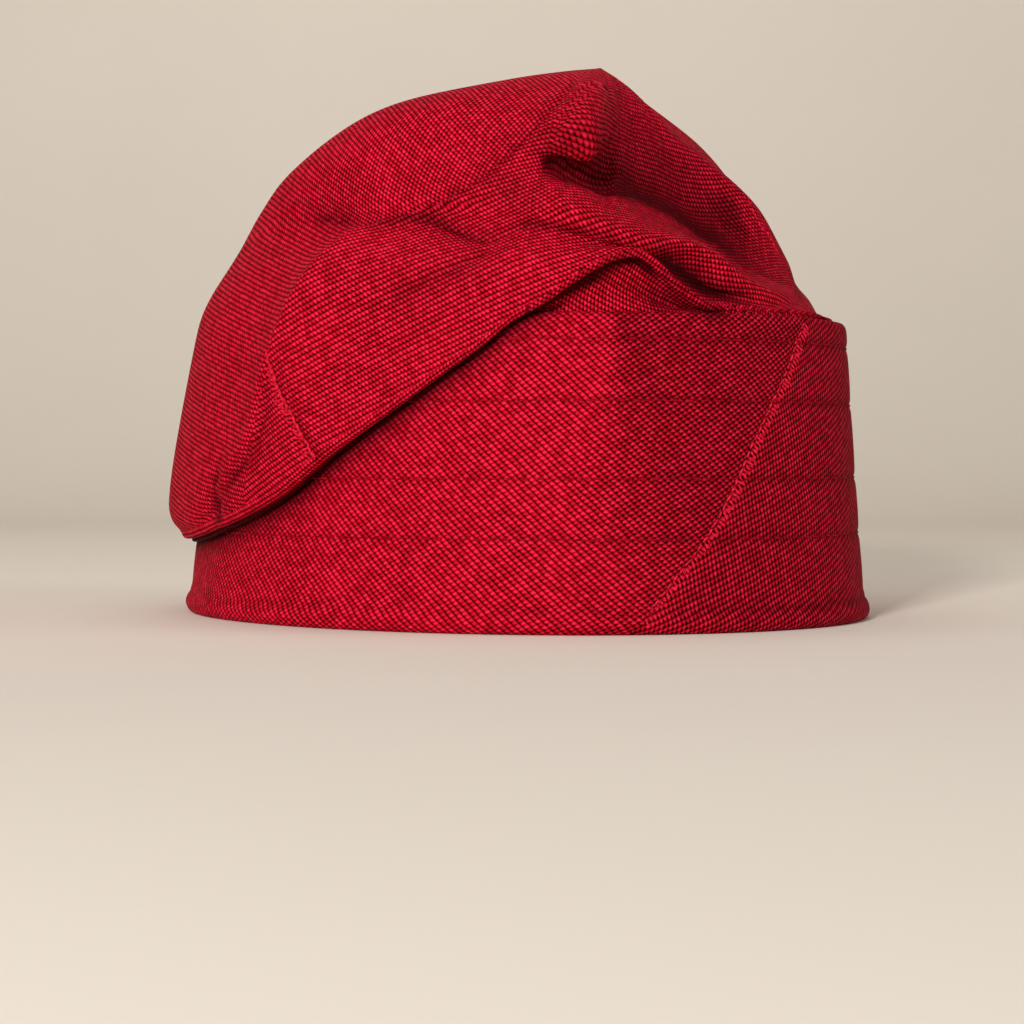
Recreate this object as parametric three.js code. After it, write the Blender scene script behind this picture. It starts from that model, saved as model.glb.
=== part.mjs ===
// A soft cap: an upright doubled band, and a folded crown that flops over it
// Millimetres, +Z up, the wearer's forehead towards -Y and the wearer's left towards +X
import * as THREE from "three";

const { clamp, degToRad, lerp, smoothstep } = THREE.MathUtils;

// Driving dimensions of the band
const BAND = {
  length: 203, // forehead to back across the rim, outside the cloth
  width: 171, // ear to ear across the rim, outside the cloth
  height: 79,
  wall: 2.8,
  taper: 5.3, // how much nearer the middle the top edge is than the rim, where it is fullest
  fullestAt: 45, // azimuth where the top edge is fullest
  drawnIn: 1.6, // how much more the top edge is drawn in at a quarter turn, and twice as much opposite
  sides: 72,
};

// Driving dimensions of the crown
const CROWN = {
  wall: 1.6,
  gap: 0.4, // clear space between the crown and the band's inside
  tuck: 14, // how deep the crown is sewn in behind the band's top edge
  edgeUp: 0.3, // how far above the band's top edge the cloth is free of it
  riseUp: 1, // how far above the band's top edge the cloth rises straight up
  leanIn: 0.3, // share of a hidden layer's step inwards that is made at the band's top edge
  height: 147.3,
  leans: [
    { azimuth: 45, reach: 21.5, from: BAND.height }, // to the wearer's left and forward
    { azimuth: -45, reach: 32, from: 100 }, // to the wearer's right and forward, higher up
  ],
  foldsFrom: 2, // the folds fade in between these heights above the band's top edge
  foldsFull: 6,
  columns: 64,
  crowdedAt: -27, // azimuth where the columns stand closest, in the middle of the folds
  crowding: 0.65,
};

// The band's section: out from the band's face, and height above the rim or below the top edge
const BAND_SECTION = [
  { out: -0.9, up: 0 },
  { out: 0.7, up: 0.8 },
  { out: 1.3, up: 2.4 },
  { out: 0.9, up: 5 },
  { out: 0, up: 7.5 },
  { out: 0, up: BAND.height / 2 },
  { out: 0, up: BAND.height - 1.2 },
  { out: -0.7, up: BAND.height },
  { out: 0.7 - BAND.wall, up: BAND.height },
  { out: -BAND.wall, up: BAND.height - 1.2 },
  { out: -BAND.wall, up: BAND.height / 2 },
  { out: -BAND.wall, up: 0 },
];

// The crown's sections round the head, one row each
// azimuth is in degrees from the forehead towards the wearer's left
// over says how fully the cloth is folded down, and foldUp is the height of the flap's lower fold
// dropOut, foldOut and bellyOut are out from the band's face: the hidden layer, the lower fold and the flap
// Each later pair is a reach from the leaning axis and a height
const SECTION_COLUMNS = [
  "azimuth", "over", "dropOut", "foldUp", "foldOut", "bellyOut", "bellyUp", "sideReach", "sideUp",
  "creaseReach", "creaseUp", "rollReach", "rollUp", "valleyReach", "valleyUp",
  "crestReach", "crestUp", "browReach", "browUp",
];
const SECTIONS = [
  [-165, 1, 1.3, 26, 5, 8.7, 37, 98, 76, 91, 97.5, 86.6, 109.7, 81.2, 120.5, 62.5, 133.9, 34.4, 142.5],
  [-137, 1, 1.3, 19, 3.9, 9.5, 31, 91.2, 76, 84.6, 97.5, 82.2, 109.7, 77.3, 120.9, 60.8, 133.9, 34.4, 142.3],
  [-115, 1, 1.3, 20.2, 4.6, 8.7, 31, 89.2, 76, 82.6, 98, 80.8, 109.7, 76, 120.5, 59.9, 133.9, 32.4, 141.6],
  [-90, 1, 1.3, 33, 5, 7.4, 43, 87, 76, 79, 102, 78.1, 109.7, 72.9, 119.6, 56.4, 132.6, 29.6, 141.6],
  [-77, 1, 1.3, 45, 4.5, 6, 55, 88, 82, 78.8, 101.5, 78.2, 108.7, 70.8, 118.7, 53.6, 131.3, 27.2, 141.6],
  [-65, 1, 1.3, 56, 4, 5.6, 65, 87.5, 89, 78.5, 102, 78.7, 107.8, 70.5, 117, 52.2, 130, 25.8, 141.3],
  [-57, 1, 1.3, 64, 4, 5.4, 72, 88.5, 90, 81, 99.5, 79.3, 107.3, 69.8, 116.8, 54.4, 127.8, 24.6, 141.1],
  [-51, 1, 1.3, 70.2, 4, 5.4, 77, 89.4, 91, 82.7, 99.2, 81, 106.4, 69.1, 116.5, 56.5, 125.7, 23.4, 141.6],
  [-46.5, 1, 1.3, 75.8, 4, 5.4, 81.5, 90.2, 91.9, 84.2, 99.3, 82.7, 105.5, 65.5, 116, 56.5, 125.4, 22, 141.5],
  [-44, 1, 1.2, 78.1, 4, 5.3, 83.5, 90.4, 92.3, 84.6, 98.9, 83.4, 105, 64.2, 115.7, 54.5, 125.2, 20.5, 141.4],
  [-40.5, 1, 1.1, 81.4, 4, 5.1, 86.3, 90.4, 92.7, 84.8, 98.3, 84, 104.5, 63.2, 114.8, 48.5, 125.6, 18.6, 141],
  [-37, 1, 0.8, 85.6, 4, 4.5, 89.4, 90.5, 93.2, 85.2, 97.4, 84.7, 103.5, 62.5, 113, 42.5, 126.2, 17.8, 141.2],
  [-34, 1, 0, 89, 4, 3, 91.5, 90.5, 94, 86, 96, 85.5, 101.8, 63, 111.4, 38.7, 126.9, 16.3, 141.2],
  [-31, 1, -1, 91.5, 3.8, 1.8, 93.2, 90.5, 94.6, 86.3, 95.6, 86, 100.3, 63.6, 111, 36.4, 126.9, 15.3, 140.7],
  [-27.5, 1, -2.5, 92, 3.6, 0, 93.4, 90, 94.4, 86, 95, 86.3, 98.8, 63.2, 109.7, 35, 126.6, 14.6, 140.7],
  [-25, 1, -3.5, 90.3, 3.5, -1.5, 91.8, 89, 93, 85.3, 93.6, 86.5, 97.6, 63, 108.3, 33.6, 126.6, 14, 140.6],
  [-23, 1, -4.5, 87.6, 3.4, -2.3, 89.4, 88.2, 91, 84.3, 92, 86.5, 96.8, 62.8, 107.5, 33, 126.6, 13.8, 140.6],
  [-21, 1, -5, 84.3, 3.4, -2.8, 86.5, 87.5, 89.3, 83.7, 90.6, 86.4, 96, 62.8, 106.6, 32, 126.6, 13.5, 140.6],
  [-19, 1, -5.3, 81.3, 3.4, -3.3, 84, 87, 87.6, 83.3, 89.3, 86.3, 95.3, 63, 105.8, 31.8, 126.6, 13.3, 140.5],
  [-17, 0, -4, 81, 2, -4.5, 83, 86.5, 86.3, 83, 88, 86.2, 94.5, 62.9, 104.9, 31.4, 126.6, 13, 140.5],
  [-12, 0, -1, 81, 0, -5.5, 82, 87.5, 83.7, 83.3, 85.5, 86, 92.5, 63.5, 102.8, 30.6, 126.6, 12.6, 140.5],
  [-5, 0, -1, 81, 0, -4.2, 80.6, 90.3, 81.3, 88.2, 82.2, 86.5, 88.5, 65, 98.8, 30.2, 126.2, 12.2, 140.5],
  [3, 0, -1, 81, 0, -4.5, 80.6, 90.2, 81.4, 88.8, 82.5, 86.3, 86.6, 67, 94.8, 30.2, 125.7, 11.9, 139.9],
  [12, 0, -1, 81, 0, -5.5, 80.8, 88, 82, 86.3, 83.5, 83.5, 87, 68.5, 95, 30.7, 125.7, 11.8, 139.9],
  [25, 0, -1, 84, 0, -7.5, 81.5, 82.1, 85.5, 77.5, 90, 73.5, 96, 59.1, 109.2, 31.1, 126.2, 9.5, 139.9],
  [47, 0, -1, 84, 0, -7.2, 83, 76.6, 88, 71.8, 93, 67, 99.5, 55.2, 111.1, 33.1, 126.6, 8.6, 139.3],
  [85, 0, -1, 86, 0, -4.5, 87, 72.5, 101, 69.3, 106.4, 66.1, 110.6, 60.1, 117.9, 38.1, 131.3, 13.4, 141.6],
  [108, 0, 0, 88, 1, -3, 92, 77.4, 103.5, 74.7, 108.3, 71.4, 112.4, 63.9, 119.6, 44.4, 132.2, 19.1, 142.3],
  [124, 1, 1.3, 86, 4, 5, 94, 82.4, 104.9, 79.1, 109.7, 75.8, 113.8, 68.6, 120.9, 50.1, 133.1, 23.9, 142.5],
  [145, 1, 1.3, 68, 5, 6.5, 77, 89.5, 96, 86.4, 103.9, 83, 110.6, 76.1, 120.1, 57.8, 133.1, 28.6, 142.7],
  [168, 1, 1.3, 46, 5.5, 7.5, 57, 97.5, 83, 92.5, 97.5, 88.1, 108.7, 81.5, 119.6, 62.6, 133.5, 32.4, 142.7],
];

// Stations along a section, from the hidden edge up to the peak
// span is a usual length in millimetres to the next station, and steps is how many rows of faces it gets
const STATIONS = [
  { name: "tuck", span: 12, steps: 2 },
  { name: "edge", span: 3, steps: 1 },
  { name: "lip", span: 3, steps: 1 },
  { name: "drop", span: 12, steps: 2 },
  { name: "foldBack", span: 5, steps: 1 },
  { name: "foldUnder", span: 3, steps: 1 },
  { name: "foldFront", span: 4, steps: 1 },
  { name: "foldTop", span: 6, steps: 1 },
  { name: "belly", span: 16, steps: 3 },
  { name: "side", span: 12, steps: 3 },
  { name: "crease", span: 7, steps: 3 },
  { name: "roll", span: 16, steps: 4 },
  { name: "valley", span: 28, steps: 5 },
  { name: "crest", span: 30, steps: 5 },
  { name: "brow", span: 20, steps: 3 },
  { name: "peak", span: 0, steps: 0 },
];

// The stations of the folded part, from the band's top edge round the flap's lower fold
// at is 0 at the band's top edge and 1 at the fold, and lift and out move the cloth from there
// hang is for a fold that hangs below the band's top edge, and raise for one that stands above it
// foldShare is the share of foldOut, and share the place of the station where the cloth isn't folded down
const FOLDED = [
  { share: 0.15, foldShare: 0, hang: { at: 0, lift: 2, out: -3.3 }, raise: { at: 0.45, lift: 0, out: -3.3 } },
  { share: 0.3, foldShare: 0, hang: { at: 0, lift: -0.5, out: 0.6 }, raise: { at: 0.75, lift: 0, out: -2 } },
  { share: 0.45, foldShare: 0, hang: { at: 1, lift: 2.6, out: 0 }, raise: { at: 1, lift: -0.8, out: -0.6 } },
  { share: 0.6, foldShare: 0.25, hang: { at: 1, lift: 0.5, out: 0 }, raise: { at: 1, lift: -0.1, out: 0 } },
  { share: 0.75, foldShare: 0.65, hang: { at: 1, lift: 0.2, out: 0 }, raise: { at: 1, lift: 0.2, out: 0 } },
  { share: 0.88, foldShare: 0.98, hang: { at: 1, lift: 1.8, out: 0 }, raise: { at: 1, lift: 1.8, out: 0 } },
];
const RAISED_FROM = -6; // a fold begins to stand up at this height from the band's top edge
const RAISED_FULL = 4;

// The folds across the sections, one row each, with depth along the cloth's normal (below zero is a valley)
// left and right are how far a fold fades out on either side of its path, and sag is how far it hangs down
// form is 1 for a crisp fold and 2 for a round one, and a path's points are azimuth, height and depth's share
const FOLDS = [
  {
    name: "ridge down from the peak", depth: 5, left: 9, right: 7, sag: 0, form: 1.2,
    path: [[-55, 144, 0.1], [-49.4, 132.8, 0.8], [-46.4, 125.4, 1], [-45.2, 121.6, 0.9]],
  },
  {
    name: "lip at the ridge's foot", depth: 2.5, left: 4, right: 2.5, sag: 2, form: 2,
    path: [[-53, 120.6, 0], [-49, 120.9, 0.6], [-45.2, 121.2, 1]],
  },
  {
    name: "pinch under the ridge", depth: -5, left: 2.5, right: 4, sag: 0, form: 2,
    path: [[-51, 117, 0.2], [-46.5, 117.2, 0.9], [-42.5, 116.4, 1], [-37, 113.8, 0.6], [-29, 110.8, 0.2]],
  },
  {
    name: "edge of the long roll", depth: 1.5, left: 4, right: 2, sag: 1.5, form: 2,
    path: [[-47, 101.5, 0], [-40, 100.3, 0.8], [-31, 97.8, 1], [-23, 94.3, 1], [-12, 88, 1], [-4, 85.5, 0.3]],
  },
  {
    name: "bend along the side seam", depth: 3.5, left: 12, right: 14, sag: 0, form: 1.5,
    path: [[-73.5, 101, 0.2], [-77.5, 92, 0.8], [-85, 71.6, 1], [-84.5, 51, 1]],
  },
  {
    name: "pinch at the flap's tip", depth: -4, left: 4, right: 4, sag: 0, form: 1.5,
    path: [[-112, 22, 1], [-108, 31, 0.8], [-103, 42, 0.2]],
  },
];
const PATH_STEPS = 24; // straight lines along a fold's path
const CURVE_STEPS = 200; // places tried along a section when a height is looked for on it

// Unit vector on the ground at an azimuth in degrees
function bearing(azimuth) {
  const angle = degToRad(azimuth);
  return new THREE.Vector3(Math.sin(angle), -Math.cos(angle), 0);
}

// How far the band's outside is from its middle at an azimuth and height
function bandReach(azimuth, height) {
  const taper = BAND.taper + BAND.drawnIn * (1 - Math.cos(degToRad(azimuth - BAND.fullestAt)));
  const inset = (taper * clamp(height, 0, BAND.height)) / BAND.height;
  const long = BAND.length / 2 - inset;
  const short = BAND.width / 2 - inset;
  const angle = degToRad(azimuth);
  return (long * short) / Math.hypot(long * Math.sin(angle), short * Math.cos(angle));
}

// Middle of the cap at a height: the crown leans from the band's middle over to its peak
function axisAt(height) {
  const axis = new THREE.Vector3(0, 0, height);
  CROWN.leans.forEach(({ azimuth, reach, from }) =>
    axis.addScaledVector(bearing(azimuth), reach * smoothstep(height, from, CROWN.height)),
  );
  return axis;
}

// A closed body from rows of vertex numbers that join round in a ring, one row to the next
function stitchRows(indices, rows) {
  for (let r = 0; r + 1 < rows.length; r += 1) {
    const [low, high] = [rows[r], rows[r + 1]];
    low.forEach((corner, i) => {
      const next = (i + 1) % low.length;
      indices.push(corner, low[next], high[next], corner, high[next], high[i]);
    });
  }
}

// The band: its section carried round the oval
function bandGeometry() {
  const positions = [];
  const rows = BAND_SECTION.map(({ out, up }) => {
    const row = [];
    for (let i = 0; i < BAND.sides; i += 1) {
      const azimuth = (360 * i) / BAND.sides;
      row.push(positions.length / 3);
      positions.push(...axisAt(up).addScaledVector(bearing(azimuth), bandReach(azimuth, up) + out));
    }
    return row;
  });
  const indices = [];
  stitchRows(indices, [...rows, rows[0]]);
  return new THREE.BufferGeometry()
    .setAttribute("position", new THREE.Float32BufferAttribute(positions, 3))
    .setIndex(indices);
}

// The section table read between its rows, smoothly and right round the head
const firstAzimuth = SECTIONS[0][0];
const sectionTable = new THREE.CubicInterpolant(
  [...SECTIONS.map(([azimuth]) => azimuth), firstAzimuth + 360],
  [...SECTIONS, SECTIONS[0]].flat(),
  SECTION_COLUMNS.length,
  new Float32Array(SECTION_COLUMNS.length),
);
sectionTable.settings = { endingStart: THREE.WrapAroundEnding, endingEnd: THREE.WrapAroundEnding };

function sectionAt(azimuth) {
  const turned = THREE.MathUtils.euclideanModulo(azimuth - firstAzimuth, 360) + firstAzimuth;
  const row = sectionTable.evaluate(turned);
  const section = Object.fromEntries(SECTION_COLUMNS.map((name, i) => [name, row[i]]));
  section.over = clamp(section.over, 0, 1);
  return section;
}

// Reach and height of every station at an azimuth, in the stations' order
function stationsAt(azimuth) {
  const section = sectionAt(azimuth);
  const { over, dropOut, foldUp, foldOut } = section;
  const top = BAND.height;
  const mix = (from, to, share) => [lerp(from[0], to[0], share), lerp(from[1], to[1], share)];
  const inside = (height) => bandReach(azimuth, height) - BAND.wall - CROWN.gap;
  const rise = [inside(top), top + CROWN.riseUp];
  const belly = [bandReach(azimuth, section.bellyUp) + section.bellyOut, section.bellyUp];
  const raised = smoothstep(foldUp, top + RAISED_FROM, top + RAISED_FULL);
  const spot = ({ at, lift, out }, foldShare) => {
    const height = lerp(top, foldUp, at) + lift;
    return [bandReach(azimuth, height) + dropOut + out + foldShare * foldOut, height];
  };
  const folded = FOLDED.map(({ share, foldShare, hang, raise }) =>
    mix(mix(rise, belly, share), mix(spot(hang, foldShare), spot(raise, foldShare), raised), over),
  );
  return [
    [inside(top - CROWN.tuck), top - CROWN.tuck],
    [inside(top) + CROWN.leanIn * Math.min(0, dropOut), top + CROWN.edgeUp],
    ...folded,
    belly,
    [section.sideReach, section.sideUp],
    [section.creaseReach, section.creaseUp],
    [section.rollReach, section.rollUp],
    [section.valleyReach, section.valleyUp],
    [section.crestReach, section.crestUp],
    [section.browReach, section.browUp],
    [0, CROWN.height],
  ];
}

// Knots of the stations along a section, close together where the cloth turns sharply
const knots = [];
STATIONS.reduce((along, { span }) => {
  knots.push(along);
  return along + Math.sqrt(span);
}, 0);

const stationKnot = (wanted) => knots[STATIONS.findIndex(({ name }) => name === wanted)];

// A smooth curve through the stations at an azimuth, read by a knot value
function sectionCurve(azimuth) {
  const curve = new THREE.CubicInterpolant(knots, stationsAt(azimuth).flat(), 2, new Float32Array(2));
  const outward = bearing(azimuth);
  return (knot) => {
    const [reach, height] = curve.evaluate(knot);
    return axisAt(height).addScaledVector(outward, reach);
  };
}

// The point of the unfolded crown's outside at an azimuth and height
function onCrown(azimuth, height) {
  const curve = sectionCurve(azimuth);
  const lowest = lerp(stationKnot("lip"), stationKnot("foldTop"), sectionAt(azimuth).over);
  const highest = stationKnot("peak");
  let best = curve(highest);
  for (let i = CURVE_STEPS; i >= 0; i -= 1) {
    const point = curve(lerp(lowest, highest, i / CURVE_STEPS));
    if (Math.abs(point.z - height) < Math.abs(best.z - height)) best = point;
  }
  return best;
}

// A fold's path as short straight lines on the unfolded crown, with the share of depth at each end
function foldLines({ path }) {
  const marks = new THREE.CubicInterpolant(path.map((_, i) => i), path.flat(), 3, new Float32Array(3));
  const stops = [];
  for (let i = 0; i <= PATH_STEPS; i += 1) {
    const [azimuth, height, share] = marks.evaluate((i / PATH_STEPS) * (path.length - 1));
    stops.push({ point: onCrown(azimuth, height), share });
  }
  return stops.slice(1).map((stop, i) => ({
    line: new THREE.Line3(stops[i].point, stop.point),
    shares: [stops[i].share, stop.share],
  }));
}

// How far a fold moves a point of the unfolded crown
function foldShift(fold, lines, point, normal) {
  const nearest = { distance: Infinity };
  const foot = new THREE.Vector3();
  lines.forEach(({ line, shares }) => {
    const along = line.closestPointToPointParameter(point, true);
    line.at(along, foot);
    const distance = foot.distanceTo(point);
    if (distance >= nearest.distance) return;
    const side = line.delta(new THREE.Vector3()).cross(foot.sub(point)).dot(normal);
    Object.assign(nearest, { distance, side, share: lerp(shares[0], shares[1], along) });
  });
  const width = nearest.side < 0 ? fold.left : fold.right;
  const amount = nearest.share * Math.exp(-((nearest.distance / width) ** fold.form));
  return normal.clone().multiplyScalar(fold.depth * amount).add(new THREE.Vector3(0, 0, -fold.sag * amount));
}

// Columns of the crown's outside, closer together where it is folded
function columnAzimuths() {
  const azimuths = [];
  for (let i = 0; i < CROWN.columns; i += 1) {
    const turn = (2 * Math.PI * i) / CROWN.columns;
    const angle = turn - CROWN.crowding * Math.sin(turn);
    azimuths.push(CROWN.crowdedAt + THREE.MathUtils.radToDeg(angle));
  }
  return azimuths;
}

// Knot values of the crown's rows, up to the last one below the peak
function rowKnots() {
  return STATIONS.slice(0, -1).flatMap(({ steps }, s) =>
    Array.from({ length: steps }, (_, i) => lerp(knots[s], knots[s + 1], i / steps)),
  );
}

// The crown: its outside folded along the paths, and a wall behind it
function crownGeometry() {
  const azimuths = columnAzimuths();
  const rows = rowKnots();
  const positions = [];
  const overs = azimuths.map((azimuth) => sectionAt(azimuth).over);
  const curves = azimuths.map(sectionCurve);
  const outerRows = rows.map((knot) =>
    curves.map((curve) => {
      const number = positions.length / 3;
      positions.push(...curve(knot));
      return number;
    }),
  );
  const peak = positions.length / 3;
  positions.push(...axisAt(CROWN.height));
  const outer = [];
  stitchRows(outer, outerRows);
  const last = outerRows[outerRows.length - 1];
  last.forEach((corner, i) => outer.push(corner, last[(i + 1) % last.length], peak));

  const plain = new THREE.BufferGeometry()
    .setAttribute("position", new THREE.Float32BufferAttribute(positions, 3))
    .setIndex(outer);
  plain.computeVertexNormals();
  const folded = plain.clone();
  const paths = FOLDS.map(foldLines);
  const point = new THREE.Vector3();
  const normal = new THREE.Vector3();
  outerRows.forEach((row, r) =>
    row.forEach((number, column) => {
      point.fromBufferAttribute(plain.attributes.position, number);
      normal.fromBufferAttribute(plain.attributes.normal, number);
      const upFromFold = smoothstep(rows[r], stationKnot("foldFront"), stationKnot("belly"));
      const free = lerp(1, upFromFold, overs[column]);
      const upFromBand = smoothstep(point.z - BAND.height, CROWN.foldsFrom, CROWN.foldsFull);
      const clear = lerp(upFromBand, 1, overs[column]);
      const shift = new THREE.Vector3();
      FOLDS.forEach((fold, f) => shift.add(foldShift(fold, paths[f], point, normal)));
      point.addScaledVector(shift, free * clear);
      folded.attributes.position.setXYZ(number, point.x, point.y, point.z);
    }),
  );
  folded.computeVertexNormals();

  // The inside is the outside moved in by the wall, with its faces turned round
  const count = peak + 1;
  const both = [...folded.attributes.position.array];
  for (let i = 0; i < count; i += 1) {
    point.fromBufferAttribute(folded.attributes.position, i);
    normal.fromBufferAttribute(folded.attributes.normal, i);
    point.addScaledVector(normal, -CROWN.wall);
    both.push(point.x, point.y, point.z);
  }
  const indices = [...outer];
  for (let i = 0; i < outer.length; i += 3) {
    indices.push(outer[i] + count, outer[i + 2] + count, outer[i + 1] + count);
  }
  const hem = outerRows[0];
  stitchRows(indices, [hem.map((corner) => corner + count), hem]);
  return new THREE.BufferGeometry()
    .setAttribute("position", new THREE.Float32BufferAttribute(both, 3))
    .setIndex(indices);
}

const bandCloth = new THREE.MeshStandardMaterial({ color: 0xab1026, roughness: 0.85, metalness: 0 });
const crownCloth = new THREE.MeshStandardMaterial({ color: 0xb01228, roughness: 0.85, metalness: 0 });

const band = new THREE.Mesh(bandGeometry(), bandCloth);
band.name = "band";
const crown = new THREE.Mesh(crownGeometry(), crownCloth);
crown.name = "crown";

// The origin is the middle of the cap's box, on the surface that the rim stands on
const cap = new THREE.Group();
cap.add(band, crown);
const middle = new THREE.Box3().setFromObject(cap).getCenter(new THREE.Vector3());
[band, crown].forEach((piece) => piece.position.set(-middle.x, -middle.y, 0));

export default cap;
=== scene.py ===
"""The looks of a soft cap with a folded crown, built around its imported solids.

Sizes are millimetres in the wearer's frame, from the middle of the rim: the front is towards -Y, the
wearer's left is towards +X, and an azimuth is in degrees from the front towards the wearer's left.
"""

import logging
import math
from dataclasses import dataclass, field
from enum import Enum
from typing import Any

import bpy
import numpy as np
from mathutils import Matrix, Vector


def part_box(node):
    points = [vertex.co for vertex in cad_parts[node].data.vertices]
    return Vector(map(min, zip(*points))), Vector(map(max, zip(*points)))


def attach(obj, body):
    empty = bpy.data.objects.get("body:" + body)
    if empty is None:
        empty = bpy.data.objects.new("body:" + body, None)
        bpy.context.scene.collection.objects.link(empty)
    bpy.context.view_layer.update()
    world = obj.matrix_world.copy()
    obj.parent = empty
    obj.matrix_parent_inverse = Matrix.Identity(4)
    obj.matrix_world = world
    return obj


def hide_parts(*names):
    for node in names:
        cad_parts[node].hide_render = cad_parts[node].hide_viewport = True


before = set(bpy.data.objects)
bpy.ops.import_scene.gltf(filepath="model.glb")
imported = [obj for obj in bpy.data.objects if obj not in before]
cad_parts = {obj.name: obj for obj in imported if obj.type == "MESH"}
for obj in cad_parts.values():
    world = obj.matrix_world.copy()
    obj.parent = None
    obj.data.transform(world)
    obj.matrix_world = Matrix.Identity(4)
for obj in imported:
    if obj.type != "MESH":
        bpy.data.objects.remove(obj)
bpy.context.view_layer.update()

Array = np.ndarray
Colour = tuple[float, float, float]
Socket = bpy.types.NodeSocket
Spot = tuple[float, float, float]
Path = tuple[Spot, ...]
Outline = tuple[tuple[float, ...], ...]
Link = tuple[tuple[slice, slice], tuple[slice, slice], Array]

MM = 0.001
BODY = "root"
WEAVE_MAP = "weave"
NORMAL_NAME = "face_normal"
WAY_NAME = "stitch_way"
# How open the weave is: the open weave's darker hollows are partly the cloth's own look and partly painted
# shade
LOOSE_AND_SHADE_NAME = "loose_weave_and_shade"
# Painted shade: a mark on each vertex that darkens the cloth's colour towards its hollow colour
SHADE_NAME = "crease_shade"
log = logging.getLogger("soft_cap")

# How finely lines are read, in steps, degrees and millimetres
FINE_STEPS = 3601
SEAM_STEPS = 400
PATH_STEPS = 40
KNOT_TRIES = 400
NUDGE_ROUND = 0.5
NUDGE_UP = 0.3
TINY = 1e-9

# How cloth is laid flat: the stride and the count of each pass, the push, the most that a cell may lean, and
# the least step between two places
FLAT_PASSES = ((16, 600), (8, 400), (4, 300), (2, 200), (1, 120))
FLAT_PUSH = 1.6
MOST_LEAN = 0.95
LEAST_STEP = 1e-6


class Panel(Enum):
    """The two sewn panels of the crown, and the turn of each one's weft rows in degrees."""

    FRONT = 21.0
    BACK = 58.5


@dataclass(frozen=True)
class Place:
    """A station's place on the folded part: at is 0 at the band's top edge and 1 at the fold."""

    at: float
    lift: float
    out: float


@dataclass(frozen=True)
class FoldedStation:
    """A station of the folded part, for a fold that hangs below the band's top edge or stands above it."""

    share: float
    fold_share: float
    hang: Place
    stand: Place


@dataclass(frozen=True)
class Fold:
    """A fold across the sections: depth along the normal, fading out to the left and right of its path.

    The path's points are azimuth, height and share of the depth; form is 1 for a crisp fold and 2 for a round
    one. Left is above a path that goes to the right. The shade is painted shade: it darkens the cloth's
    colour near the path, fading out as the depth does.
    """

    name: str
    depth: float
    left: float
    right: float
    sag: float
    form: float
    path: Path
    shade: float = 0.0


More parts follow.
